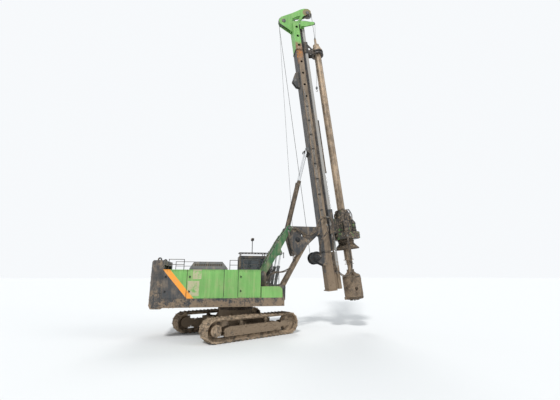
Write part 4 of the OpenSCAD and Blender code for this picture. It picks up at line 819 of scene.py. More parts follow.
def from_pin(name):
    """Distances ahead of and above the mast's pivot of a joint on the mast."""
    offset = np.array(JOINTS[name]["pos_m"], float) - MAST_PIN
    return offset @ MAST_FORE, offset @ MAST_UP


def straight(start, end, step=0.25):
    """Evenly spaced points from start to end."""
    start, end = np.asarray(start, float), np.asarray(end, float)
    count = max(2, int(np.linalg.norm(end - start) / step) + 1)
    return start + np.linspace(0, 1, count)[:, None] * (end - start)


def rope_turns(rope, core, half, sides=56):
    """Turns of rope side by side on a drum: radius = core + r + r sin over half a turn of angle."""
    turns = int(2 * half / rope)
    phase = np.linspace(0, np.pi, 6, endpoint=False)
    place = (np.arange(turns)[:, None] + phase[None] / np.pi).ravel() * rope - turns * rope / 2
    radius = core + rope * 0.35 + 0.5 * rope * np.sin(np.tile(phase, turns))
    return lathe(np.column_stack([radius, place]), sides)


class RIG_OT_main_rope(bpy.types.Operator):
    """Rope from the main winch over both sheaves of the head to the kelly bar"""

    bl_idname = "rig.main_rope"
    bl_label = "Main rope"

    def execute(self, context):
        rope = context.scene.rig_lines.main_rope
        drum, rear, front = map(from_pin, ("main_winch", "rear_sheaves_spin", "front_sheave_spin"))
        groove = GROOVE + rope / 2
        slope = math.degrees(math.atan2(front[1] - rear[1], front[0] - rear[0]))
        top_layer = 0.262
        leave = on_mast(drum[0] - top_layer, 0, drum[1])
        over_rear = arc_on_mast(rear, groove, 180, 90 + slope, 0)
        over_front = arc_on_mast(front, groove, 90 + slope, 0, 0, 22)
        hang = over_front[-1]
        low = hang - MAST_UP * 0.66
        swivel_top = swivel_head()
        socket_top = swivel_top + MAST_UP * 0.10
        path = np.vstack([straight(leave, over_rear[0], 0.5)[:-1], over_rear[:-1],
                          straight(over_rear[-1], over_front[0])[:-1], over_front[:-1], straight(hang, low)])
        make_piece("main_rope", tube(path, rope / 2), "rope", "mast")
        hanging = make_piece("main_rope_hanging", tube(straight(low, socket_top, 0.08), rope / 2), "rope")
        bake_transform(hanging)
        tail = make_piece("main_rope_tail", tube(straight(socket_top, swivel_top, 0.01), rope / 2), "rope")
        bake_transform(tail)
        core, half = 0.231, 0.30
        turns = rope_turns(rope, core, half)
        centre = np.array(JOINTS["main_winch"]["pos_m"])
        make_piece("main_rope_turns", stamped(turns, centre, LEFT), "rope", "main_winch_drum")
        socket = lathe([(0, 0), (0.034, 0), (0.034, 0.05), (0.018, 0.15), (0, 0.15)], 16)
        make_piece("rope_socket", stamped(socket, swivel_top - MAST_UP * 0.04, MAST_UP), "muddy_steel",
                   "kelly_inner")
        return {"FINISHED"}


def swivel_head():
    """Top of the inner bar's swivel on the kelly bar's axis."""
    _, high = node_box("kelly_inner")
    ahead, _ = from_pin("kelly_spin")
    base = on_mast(ahead, 0, 0)
    return base + MAST_UP * ((high[2] - base[2]) / MAST_UP[2] - 0.012)


# End of the auxiliary rope, and its roller's distances ahead of and above the mast's pivot
HOOK_TOP = np.array([4.65, -0.545, 14.52])
SMALL_ROLLER = (0.42, 14.475)


class RIG_OT_small_rope(bpy.types.Operator):
    """Rope from the small winch over the head and the side bracket to the hook"""

    bl_idname = "rig.small_rope"
    bl_label = "Auxiliary rope"

    def execute(self, context):
        rope = context.scene.rig_lines.small_rope
        drum = np.array(JOINTS["aux_winch"]["pos_m"], float)
        rear = from_pin("rear_sheaves_spin")
        side = -0.085
        leave = drum + np.array([-0.172, side, 0.0])
        over_rear = arc_on_mast(rear, GROOVE + rope / 2, 180, 92, side)
        rising = make_piece("small_rope_rising", tube(straight(leave, over_rear[0], 0.3), rope / 2),
                            "small_rope")
        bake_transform(rising)
        bracket = (1.55, 13.85)
        bracket_side = HOOK_TOP[1]
        over_roller = arc_on_mast(SMALL_ROLLER, 0.05, 95, 65, side, 5)
        over_bracket = arc_on_mast(bracket, 0.10, 85, -6, bracket_side, 9)
        path = np.vstack([over_rear[:-1], straight(over_rear[-1], over_roller[0])[:-1], over_roller[:-1],
                          straight(over_roller[-1], over_bracket[0])[:-1], over_bracket[:-1],
                          straight(over_bracket[-1], HOOK_TOP)])
        make_piece("small_rope", tube(path, rope / 2), "small_rope", "mast")
        guide = lathe([(0, -0.13), (0.052, -0.13), (0.052, -0.11), (0.04, -0.10), (0.04, 0.10), (0.052, 0.11),
                       (0.052, 0.13), (0, 0.13)], 20)
        make_piece("rope_roller", stamped(guide, on_mast(SMALL_ROLLER[0], 0, SMALL_ROLLER[1]), LEFT),
                   "mid_grey_paint", "mast")
        wheel = lathe([(0.02, -0.028), (0.105, -0.028), (0.088, -0.006), (0.088, 0.006), (0.105, 0.028),
                       (0.02, 0.028)], 28)
        make_piece("bracket_wheel", stamped(wheel, on_mast(bracket[0], bracket_side, bracket[1]), LEFT),
                   "mid_grey_paint", "mast")
        make_piece("small_rope_turns", stamped(rope_turns(rope, 0.151, 0.135, 40), drum, LEFT),
                   "small_rope", "aux_winch_drum")
        return {"FINISHED"}


# Hoses. Each route is the line of the bundle's solid; the last two are in the mast's own axes

BOOM_HOSE = np.array([
    (1.520, -0.736, 2.500), (1.570, -0.750, 2.720), (1.720, -0.750, 2.890), (1.920, -0.760, 2.990),
    (2.140, -0.770, 3.020), (2.370, -0.770, 3.050), (2.580, -0.770, 3.130), (2.770, -0.770, 3.250),
    (2.890, -0.770, 3.440), (2.950, -0.770, 3.660), (2.960, -0.760, 3.890), (2.940, -0.760, 4.110),
    (2.890, -0.760, 4.330), (2.840, -0.750, 4.560), (2.790, -0.740, 4.780), (2.750, -0.710, 5.000),
    (2.720, -0.666, 5.220)])
FRAME_HOSE = np.array([
    (2.980, -0.476, 5.440), (3.190, -0.520, 5.370), (3.390, -0.550, 5.260), (3.590, -0.570, 5.140),
    (3.790, -0.580, 5.050), (4.020, -0.580, 5.020), (4.220, -0.580, 5.120), (4.350, -0.570, 5.310),
    (4.410, -0.560, 5.520), (4.480, -0.560, 5.740), (4.600, -0.560, 5.930), (4.780, -0.560, 6.070),
    (5.000, -0.560, 6.130)])
DRIVE_HOSE = np.array([
    (0.600, -0.450, 0.700), (0.790, -0.480, 0.590), (0.850, -0.520, 0.380), (0.860, -0.530, 0.150),
    (0.840, -0.530, -0.070), (0.810, -0.530, -0.300), (0.770, -0.530, -0.520), (0.730, -0.530, -0.740),
    (0.690, -0.530, -0.970), (0.660, -0.530, -1.190), (0.640, -0.550, -1.420), (0.620, -0.560, -1.640),
    (0.620, -0.580, -1.870), (0.640, -0.610, -2.090), (0.690, -0.650, -2.310), (0.790, -0.700, -2.500),
    (0.950, -0.770, -2.650), (1.160, -0.840, -2.650), (1.330, -0.890, -2.520), (1.430, -0.900, -2.310),
    (1.460, -0.910, -2.090), (1.470, -0.910, -1.860), (1.470, -0.910, -1.630), (1.470, -0.910, -1.410),
    (1.470, -0.910, -1.180), (1.470, -0.910, -0.950), (1.470, -0.910, -0.730), (1.470, -0.900, -0.500)])
WINCH_HOSE = np.array([
    (0.550, -0.386, 0.250), (0.540, -0.460, 0.040), (0.450, -0.520, -0.150), (0.310, -0.540, -0.310),
    (0.150, -0.540, -0.460), (0.020, -0.530, -0.630), (-0.050, -0.510, -0.840), (-0.090, -0.480, -1.050),
    (-0.100, -0.450, -1.260), (-0.110, -0.408, -1.480)])


def all_on_mast(rows):
    """Rows of distances ahead of, left of and above the mast's pivot as places."""
    return MAST_PIN + rows[:, :1] * MAST_FORE + rows[:, 1:2] * LEFT + rows[:, 2:] * MAST_UP


def hose_lines(route, radius, count, ties, slack):
    """Lines of the hoses in a bundle, and the middle line with its directions.

    Each line is the middle one moved by its reach at its own angle, and further out between
    the ties by slack times the squared sine of the ties' spacing.
    """
    middle = smooth_path(route, 8)
    along, across, over = path_frames(middle)
    share = np.linspace(0, 1, len(middle))[:, None]
    loose = np.sin(np.pi * share * (ties + 1)) ** 2
    tight = radius * 1.02 / math.sin(math.pi / count)
    lines = []
    for number in range(count):
        angle = 2 * np.pi * number / count + 0.5 + 0.8 * share
        reach = tight * (1 + slack * loose * (1.0 - 0.30 * number))
        lines.append(middle + reach * (np.cos(angle) * across + np.sin(angle) * over))
    return lines, middle, along


class RIG_OT_hoses(bpy.types.Operator):
    """The four free bundles of hydraulic hose, with their crimped ends and ties"""

    bl_idname = "rig.hoses"
    bl_label = "Hoses"

    def execute(self, context):
        radius = context.scene.rig_lines.hose / 2
        self.bundle("boom_hose", BOOM_HOSE, radius, 3, 3, ("superstructure", "boom"))
        self.bundle("frame_hose", FRAME_HOSE, radius, 4, 2, ("link_frame", "mast"))
        self.bundle("drive_hose", all_on_mast(DRIVE_HOSE), radius, 4, 5, ("mast", "crowd"))
        self.bundle("winch_hose", all_on_mast(WINCH_HOSE), radius, 3, 1, ("mast", "mast"))
        return {"FINISHED"}

    def bundle(self, node, route, radius, count, ties, bodies):
        """One bundle. It rides on its body where both bodies are the same, and stays fixed where it is built where
        they differ.
        """
        lines, middle, along = hose_lines(route, radius, count, ties, 1.1)
        crimp = lathe([(radius, 0), (radius * 1.36, 0.003), (radius * 1.40, 0.030), (radius * 1.36, 0.057),
                       (radius * 1.02, 0.064)], 12)
        nut = lathe([(0, -0.030), (radius * 1.55, -0.030), (radius * 1.60, -0.026), (radius * 1.60, -0.002),
                     (radius * 1.50, 0.0), (0, 0.0)], 6)
        end = joined([crimp, nut])
        ends = [stamped(end, line[0], line[2] - line[0]) for line in lines]
        ends += [stamped(end, line[-1], line[-3] - line[-1]) for line in lines]
        hold = radius * (1.04 + 1.02 / math.sin(math.pi / count))
        tie = lathe([(hold, -0.020), (hold + 0.004, -0.015), (hold + 0.004, 0.015), (hold, 0.020)], 18)
        spots = [int(round(k * (len(middle) - 1) / (ties + 1))) for k in range(1, ties + 1)]
        pieces = [make_piece(node + "_ends", ends, "fitting"),
                  make_piece(node + "_ties", stamped(tie, middle[spots], along[spots]), "hose")]
        hoses = [make_piece(f"{node}_{number + 1}", tube(line, radius, 10), "hose")
                 for number, line in enumerate(lines)]
        for piece in pieces + hoses:
            if bodies[0] == bodies[1]:
                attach(piece, bodies[0])
            else:
                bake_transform(piece)
        for number, (hose, line) in enumerate(zip(hoses, lines)):
            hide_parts(node)
            pieces if number == 0 else ()


# Fittings


class RIG_OT_mast_fittings(bpy.types.Operator):
    """Flange bolts, clipped pipes up the mast's sides and keeper plates on its pins"""

    bl_idname = "rig.mast_fittings"
    bl_label = "Mast fittings"

    def execute(self, context):
        bolt = bolt_head(0.024)
        for name, level in (("lower", -1.25), ("top", 11.95)):
            rows = [(0.20 + 0.085 * k, side * 0.358, 0) for k in range(5) for side in (-1, 1)]
            rows += [(0.147, y, 0) for y in np.linspace(-0.30, 0.30, 7)]
            above = [on_mast(a, b, level + 0.03) for a, b, _ in rows]
            below = [on_mast(a, b, level - 0.03) for a, b, _ in rows]
            shape = joined([stamped(bolt, above, MAST_UP), stamped(bolt, below, -MAST_UP)])
            make_bolts(f"flange_bolts_{name}", shape, "mast")
        self.pipes()
        self.plates()
        return {"FINISHED"}

    def pipes(self):
        """Three pipes up the right side and two up the left, in clips that stand on the box's side."""
        for side, count, start in ((-1, 3, 0.78), (1, 2, 0.60)):
            pipes, clips = [], []
            face, spacing = side * 0.35, 0.055
            for number in range(count):
                ahead = 0.30 + spacing * number
                top = 8.9 - 0.5 * number
                rows = np.array([(ahead, face + side * 0.034, start),
                                 (ahead, face + side * 0.034, top - 0.25),
                                 (ahead, face + side * 0.030, top - 0.06), (ahead, face - side * 0.004, top)])
                pipes.append(tube(smooth_path(all_on_mast(rows), 8), 0.0145, 10))
            for level in np.arange(start + 0.35, 8.0, 0.95):
                right, left = sorted((face, face + side * 0.06))
                clips.append(mast_block((0.272, right, level),
                                        (0.328 + spacing * (count - 1), left, level + 0.05)))
            label = "right" if side < 0 else "left"
            make_piece(f"mast_pipes_{label}", pipes, "fitting", "mast")
            make_piece(f"mast_pipe_clips_{label}", clips, "drum_black", "mast")

    def plates(self):
        """Round keeper plates with a ring of bolts on the ends of the pins."""
        cap = lathe([(0, 0.022), (0.085, 0.022), (0.095, 0.012), (0.095, 0)], 28)
        ring = lathe([(0.10, 0), (0.10, 0.016), (0.125, 0.016), (0.13, 0.010), (0.13, 0)], 28)
        shapes, bolts = [], []
        for node, places in (("mast_main", ((0.0, 0.0), (0.0, 4.96), (-0.12, 9.80))),
                             ("mast_head", ((-0.37, 14.29), FRONT_SHEAVE, SMALL_ROLLER))):
            for ahead, up in places:
                for side in (-1, 1):
                    hit = touch(node, on_mast(ahead, side * 2.0, up), (0, -side, 0))
                    if hit is None:
                        continue
                    shapes += [stamped(cap, hit[0], (0, side, 0)), stamped(ring, hit[0], (0, side, 0))]
                    rim = round_centre(hit[0] + side * 0.02 * LEFT, 0.064, np.arange(6) * 60 + 15)
                    bolts.append(stamped(bolt_head(0.010), rim, (0, side, 0)))
        make_piece("mast_pin_plates", shapes, "mid_grey_paint", "mast")
        make_bolts("mast_pin_bolts", bolts, "mast")


# Each motor's distance from the kelly bar's axis and its angle from straight ahead, in degrees
MOTORS = ((0.5, -100), (0.6, 0), (0.5, 100))


def around_kelly(radius, angle):
    """Distances ahead of and left of the mast's pivot of a point round the kelly bar's axis."""
    turn = math.radians(angle)
    return KELLY_AHEAD + radius * math.cos(turn), radius * math.sin(turn)


class RIG_OT_drive_fittings(bpy.types.Operator):
    """Bolt circles, ribs, motor bands and motor hoses of the rotary drive"""

    bl_idname = "rig.drive_fittings"
    bl_label = "Drive fittings"

    def execute(self, context):
        bolt = bolt_head(0.022)

        def ring(radius, level, count, first=0.0, reach=360.0):
            angles = first + np.arange(count) * reach / count
            return [on_mast(*around_kelly(radius, angle), level) for angle in angles]

        shapes = [stamped(bolt, ring(0.790, -0.29, 30, -108, 222), MAST_UP),
                  stamped(bolt, ring(0.435, 0.90, 24), MAST_UP),
                  stamped(bolt, ring(0.790, -0.65, 30, -108, 222), -MAST_UP)]
        for motor in MOTORS:
            centre = around_kelly(*motor)
            spots = [on_mast(centre[0] + 0.142 * math.cos(t), centre[1] + 0.142 * math.sin(t), 0.329)
                     for t in np.radians(np.arange(10) * 36)]
            shapes.append(stamped(bolt_head(0.014), spots, MAST_UP))
        make_bolts("drive_bolts", shapes, "crowd")
        casing = [stamped(bolt_head(0.020), ring(0.660, -1.19, 12, 15), MAST_UP)]
        make_bolts("flange_studs", casing, "drive_sleeve")
        self.covers()
        self.motor_hoses()
        return {"FINISHED"}

    def covers(self):
        """Ribs round the body, bands on the motors and a port block on each."""
        bands, ribs = [], []
        band = lathe([(0.160, -0.02), (0.180, -0.016), (0.180, 0.016), (0.160, 0.02)], 30)
        port = 0.06  # half the side of a port block
        for motor in MOTORS:
            ahead, left = around_kelly(*motor)
            bands += [stamped(band, on_mast(ahead, left, level), MAST_UP) for level in (-0.18, 0.02, 0.24)]
            bands.append(mast_block((ahead - port, left - port, 0.42),
                                    (ahead + port, left + port, 0.50), 0.01))
        make_piece("motor_bands", bands, "drum_black", "crowd")
        for angle in (-150, -55, -28, 28, 55, 150):
            a = math.radians(angle)
            out = math.cos(a) * MAST_FORE + math.sin(a) * LEFT
            points, quads, texture = block((0.05, 0.024, 0.95), 0.004)
            side = np.cross(MAST_UP, out)
            turned = points[:, :1] * out + points[:, 1:2] * side + points[:, 2:] * MAST_UP
            ribs.append((turned + on_mast(KELLY_AHEAD, 0, 0.22) + out * 0.485, quads, texture))
        make_piece("drive_ribs", ribs, "drive_case", "crowd")

    def motor_hoses(self):
        """Hoses that loop over from the manifold to the motors: clipped, rigid in shape."""
        loops = []
        for number, motor in enumerate(MOTORS):
            ahead, left = around_kelly(*motor)
            if number:
                peak = (ahead * 0.35 + KELLY_AHEAD * 0.65, -0.50 + 0.06 * number, 1.00 + 0.07 * number)
            else:
                peak = (0.5 * (1.45 + ahead), 0.5 * (-0.66 + left), 1.02)
            rows = np.array([(1.46, -0.82, -0.41), (1.44, -0.80, 0.10), (1.45, -0.72, 0.62 + 0.05 * number),
                             peak, (ahead, left - 0.02, 0.78 + 0.05 * number), (ahead, left, 0.49)])
            for twin in (-0.026, 0.026):
                loops.append(tube(smooth_path(all_on_mast(rows + (twin, 0, 0)), 9), 0.017, 10))
        make_piece("motor_hoses", loops, "hose", "crowd")


class RIG_OT_hook(bpy.types.Operator):
    """Weight, swivel and hook on the end of the auxiliary rope"""

    bl_idname = "rig.hook"
    bl_label = "Hook"

    def execute(self, context):
        top = HOOK_TOP + np.array([0, 0, 0.02])
        weight = lathe([(0.010, 0.0), (0.028, -0.01), (0.062, -0.06), (0.075, -0.11), (0.062, -0.16),
                        (0.030, -0.20), (0.022, -0.24), (0.0, -0.245)], 24)
        make_piece("hook_weight", stamped(weight, top), "mid_grey_paint", "mast")
        angle = np.radians(np.linspace(90, -190, 22))
        bow = np.column_stack([0.055 * np.cos(angle), 0 * angle, 0.055 * np.sin(angle) - 0.315])
        bow = np.vstack([[(0.0, 0, -0.235)], bow])
        size = np.interp(np.linspace(0, 1, len(bow)), [0, 0.4, 0.8, 1], [0.015, 0.019, 0.013, 0.005])
        make_piece("hook_bow", tube(top + bow, size, 10), "fitting", "mast")
        return {"FINISHED"}


# The cab's own axes start at this corner
CAB = np.array([0.150, 0.760, 2.200])


def cushion(centre, size, crown, channels, tilt=0.0):
    """A padded block: its top swells by crown, its corners pull in, and channels are sewn across it.

    A point (u, v) of the top, each from -1 to 1, is raised by crown * ((1 - u^2)(1 - v^2))^0.4,
    less a groove at each channel.
    """
    half = np.array(size) / 2
    steps, pull, groove_depth, groove_half = 25, 0.06, 0.012, 0.035
    u = np.linspace(-1, 1, steps)[:, None]
    v = np.linspace(-1, 1, steps)[None, :]
    pull_u = 1 - pull * v ** 8
    pull_v = 1 - pull * u ** 8
    dome = (np.clip(1 - u ** 2, 0, 1) * np.clip(1 - v ** 2, 0, 1)) ** 0.4
    groove = sum(np.exp(-((v - spot) / groove_half) ** 2) for spot in channels) * groove_depth * dome
    x = np.broadcast_to(u * half[0] * pull_u, (steps, steps))
    y = np.broadcast_to(v * half[1] * pull_v, (steps, steps))
    edge = 1 - (np.maximum(abs(u), abs(v)) ** 10) * 0.35
    top = half[2] * edge + crown * dome - groove
    bottom = np.broadcast_to(-half[2] * edge, (steps, steps))
    upper = patch(np.stack([x, y, top], -1))
    lower = patch(np.stack([x, y, bottom], -1)[::-1])

    def border(sheet):
        return np.concatenate([sheet[0], sheet[1:, -1], sheet[-1, -2::-1], sheet[-2:0:-1, 0]])

    rim = np.column_stack([border(x), border(y)])
    high, low = border(top), border(bottom)
    middle = rim * 1.035
    wall = np.stack([np.column_stack([rim, high]), np.column_stack([middle, (high + low) / 2]),
                     np.column_stack([rim, low])])
    points, quads, texture = joined([upper, lower, patch(wall, True)])
    turn = np.array([[math.cos(tilt), 0, math.sin(tilt)], [0, 1, 0], [-math.sin(tilt), 0, math.cos(tilt)]])
    return points @ turn.T + np.array(centre), quads, texture


class RIG_OT_seat(bpy.types.Operator):
    """The operator's seat with its cushions, pedestal, consoles, levers and pedals"""

    bl_idname = "rig.seat"
    bl_label = "Seat"

    def execute(self, context):
        body = "superstructure"
        shape = cushion(CAB + (0.62, 0.48, 0.415), (0.50, 0.47, 0.085), 0.028, (-0.55, 0.0, 0.55))
        base = make_piece("seat_cushion", shape, "seat_cover", body)
        shape = cushion(CAB + (0.355, 0.48, 0.735), (0.56, 0.46, 0.075), 0.024, (-0.5, 0.5),
                        math.radians(-101))
        back = make_piece("seat_back", shape, "seat_cover", body)
        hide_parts("cab_seat")
        blocks = [((0.40, 0.27, 0.0), (0.83, 0.69, 0.06), 0.004),
                  ((0.46, 0.33, 0.05), (0.78, 0.63, 0.30), 0.02),
                  ((0.38, 0.25, 0.29), (0.86, 0.71, 0.372), 0.012),
                  ((1.25, 0.30, 0.0), (1.37, 0.64, 0.05), 0.004)]
        for side in (0.125, 0.745):
            blocks += [((0.42, side, 0.0), (0.66, side + 0.085, 0.46), 0.012),
                       ((0.42, side - 0.003, 0.44), (0.84, side + 0.088, 0.56), 0.02)]
        for y in (0.37, 0.57):
            blocks += [((1.27, y - 0.05, 0.10), (1.36, y + 0.05, 0.125), 0.006),
                       ((1.30, y - 0.012, 0.03), (1.33, y + 0.012, 0.11), 0.004)]
        frame_parts = [world_block(CAB + low, CAB + high, cut) for low, high, cut in blocks]
        make_piece("seat_frame", frame_parts, "black_paint", body)
        grips = []
        radius = np.interp(np.arange(19), [0, 8, 11, 18], [0.010, 0.010, 0.022, 0.026])
        for y in (0.167, 0.787):
            stem = np.array([(0.77, y, 0.54), (0.775, y, 0.60), (0.79, y, 0.66), (0.80, y, 0.75)])
            grips.append(tube(smooth_path(CAB + stem, 6), radius, 12))
        make_piece("seat_levers", grips, "hose", body)
        return {"FINISHED"}


class RIG_OT_lamps(bpy.types.Operator):
    """Lamp lenses and rims, and the mirror's face"""

    bl_idname = "rig.lamps"
    bl_label = "Lamps and mirror"

    def execute(self, context):
        lens, rim = [], []
        glass = lathe([(0, 0.014), (0.040, 0.010), (0.058, 0.0)], 28)
        bezel = lathe([(0.056, 0.0), (0.058, 0.018), (0.070, 0.018), (0.0725, 0.0), (0.0725, -0.05)], 28)
        for y in (0.150, 0.810):
            place = CAB + (1.910, y, 2.019)
            lens.append(stamped(glass, place, (1, 0, 0)))
            rim.append(stamped(bezel, place, (1, 0, 0)))
        make_piece("work_lamp_lenses", lens, "lens", "superstructure")
        make_piece("work_lamp_rims", rim, "black_paint", "superstructure")
        mirror = world_block(CAB + (2.576, -0.008, 1.663), CAB + (2.582, 0.148, 1.955), 0.002)
        make_piece("mirror_face", mirror, "mirror", "superstructure")
        post = np.array([0.950, 1.240, 4.139])
        ends, caps = [], []
        for y in (-0.15, 0.15):
            for side in (-1, 1):
                ends.append(stamped(glass, post + (side * 0.045, y, 0.79), (side, 0, 0), [1.15]))
                caps.append(stamped(bezel, post + (side * 0.045, y, 0.79), (side, 0, 0), [1.06]))
        make_piece("signal_lenses", ends, "signal", "superstructure")
        make_piece("signal_rims", caps, "black_paint", "superstructure")
        return {"FINISHED"}


class RIG_OT_panel_fittings(bpy.types.Operator):
    """Latches and screws of the doors, and bolts of the deck and the counterweight"""

    bl_idname = "rig.panel_fittings"
    bl_label = "Panel fittings"

    DOORS = (("door_right_rear", -1), ("door_right_mid", -1), ("door_right_front", -1),
             ("door_left_rear", 1), ("door_left_mid", 1))

    def execute(self, context):
        latch = joined([lathe([(0, 0.020), (0.030, 0.018), (0.036, 0.006), (0.036, 0)], 20),
                        stamped(block((0.016, 0.11, 0.012), 0.003), (0.0, -0.03, 0.026))])
        for name, side in self.DOORS:
            low, high = node_box(name)
            face = low[1] if side < 0 else high[1]
            spots = [(low[0] + 0.13, face, z) for z in (low[2] + 0.32, high[2] - 0.30)]
            make_piece(name + "_latches", stamped(latch, spots, (0, side, 0)), "drum_black", name)
            rows = [(x, face, z) for x in np.linspace(low[0] + 0.05, high[0] - 0.05, 9)
                    for z in (low[2] + 0.03, high[2] - 0.03)]
            make_bolts(name + "_screws", stamped(bolt_head(0.008), rows, (0, side, 0)), name)
        self.deck_bolts()
        return {"FINISHED"}

    def deck_bolts(self):
        """Rows of bolts along both deck sides and on the counterweight."""
        rows = []
        for side in (-1, 1):
            for x in np.arange(-3.35, 2.2, 0.37):
                for z in (1.47, 1.73):
                    hit = touch("deck", (x, side * 3.0, z), (0, -side, 0))
                    if hit:
                        rows.append(hit)
        for y in np.linspace(-1.1, 1.1, 5):
            for z in (1.75, 2.55, 3.2):
                hit = touch("counterweight", (-6.0, y, z), (1, 0, 0))
                if hit:
                    rows.append(hit)
        places = np.array([place for place, _ in rows])
        normals = np.array([normal for _, normal in rows])
        make_bolts("deck_bolts", stamped(bolt_head(0.017), places, normals), "superstructure")


class RIG_OT_boom_fittings(bpy.types.Operator):
    """Clipped pipes along both boom arms and bolted caps on the linkage's pins"""

    bl_idname = "rig.boom_fittings"
    bl_label = "Boom fittings"

    def execute(self, context):
        foot, head = np.array([1.330, 0, 2.910]), np.array([2.7794, 0, 5.4103])
        run = (head - foot) / np.linalg.norm(head - foot)
        over = np.array([-run[2], 0, run[0]])
        pipes, clips = [], []
        for side in (-1, 1):
            for across in (0.505, 0.545, 0.585):
                starts = [foot + run * t + over * 1.2 + LEFT * side * across
                          for t in np.linspace(0.55, 2.45, 14)]
                pipes.append(tube(smooth_path(laid("boom", starts, -over, 0.024), 4), 0.014, 10))
            for t in np.arange(0.7, 2.4, 0.42):
                hit = touch("boom", foot + run * t + over * 1.2 + LEFT * side * 0.545, -over)
                clips.append(stamped(block((0.05, 0.135, 0.045), 0.005), hit[0] + over * 0.02, over))
        make_piece("boom_pipes", pipes, "fitting", "boom")
        make_piece("boom_pipe_clips", clips, "drum_black", "boom")
        self.caps()
        return {"FINISHED"}

    def caps(self):
        """A keeper plate with four bolts on each end of the pins, found by a line along the pin."""
        cap = lathe([(0, 0.016), (0.058, 0.016), (0.066, 0.008), (0.066, 0)], 26)
        pins = (("pin_caps_frame", "link_frame", "link_frame",
                 ((2.7794, 5.4103), (3.8994, 4.7503), (3.300, 4.790))),
                ("pin_caps_boom", "boom", "boom", ((2.3056, 4.0147),)),
                ("pin_caps_deck", "deck", "superstructure", ((1.330, 2.910), (2.450, 2.250), (1.950, 2.050))))
        for name, node, body, places in pins:
            shapes = []
            for x, z in places:
                for side in (-1, 1):
                    hit = touch(node, (x, side * 2.5, z), (0, -side, 0))
                    if hit is None:
                        continue
                    rim = [hit[0] + np.array([0.044 * math.cos(a), side * 0.013, 0.044 * math.sin(a)])
                           for a in np.radians((45, 135, 225, 315))]
                    shapes += [stamped(cap, hit[0], (0, side, 0)),
                               stamped(bolt_head(0.009), rim, (0, side, 0))]
            make_piece(name, shapes, "mid_grey_paint", body)


class RIG_OT_winch_fittings(bpy.types.Operator):
    """Brake covers of both winches, the main winch's motor and its port block"""

    bl_idname = "rig.winch_fittings"
    bl_label = "Winch fittings"

    def execute(self, context):
        cover = lathe([(0, 0.085), (0.10, 0.085), (0.125, 0.070), (0.135, 0.050), (0.175, 0.045),
                       (0.19, 0.0)], 32)
        motor = lathe([(0, 0.230), (0.060, 0.230), (0.075, 0.215), (0.075, 0.120), (0.110, 0.110),
                       (0.110, 0.0)], 24)
        shapes, bolts = [], []
        centre = np.array(JOINTS["main_winch"]["pos_m"], float)
        for side in (-1, 1):
            hit = touch("mast_lower", centre + LEFT * side * 2 + MAST_UP * 0.05, (0, -side, 0))
            shapes.append(stamped(cover, centre + LEFT * hit[0][1], (0, side, 0)))
            rim = round_centre(centre + LEFT * (hit[0][1] + side * 0.044), 0.157, np.arange(12) * 30)
            bolts.append(stamped(bolt_head(0.011), rim, (0, side, 0)))
        shapes.append(stamped(motor, centre + LEFT * (hit[0][1] + 0.08), LEFT))
        shapes.append(mast_block((-0.175, -0.432, -1.575), (-0.045, -0.371, -1.435), 0.008))
        make_piece("main_winch_covers", shapes, "drum_black", "mast")
        make_bolts("main_winch_bolts", bolts, "mast")
        small, small_size = np.array(JOINTS["aux_winch"]["pos_m"], float), 0.72
        shapes = []
        for side in (-1, 1):
            hit = touch("link_frame", small + np.array([0.06, side * 2, 0]), (0, -side, 0))
            shapes.append(stamped(cover, small + LEFT * hit[0][1], (0, side, 0), [small_size]))
        make_piece("aux_winch_covers", shapes, "drum_black", "link_frame")
        return {"FINISHED"}


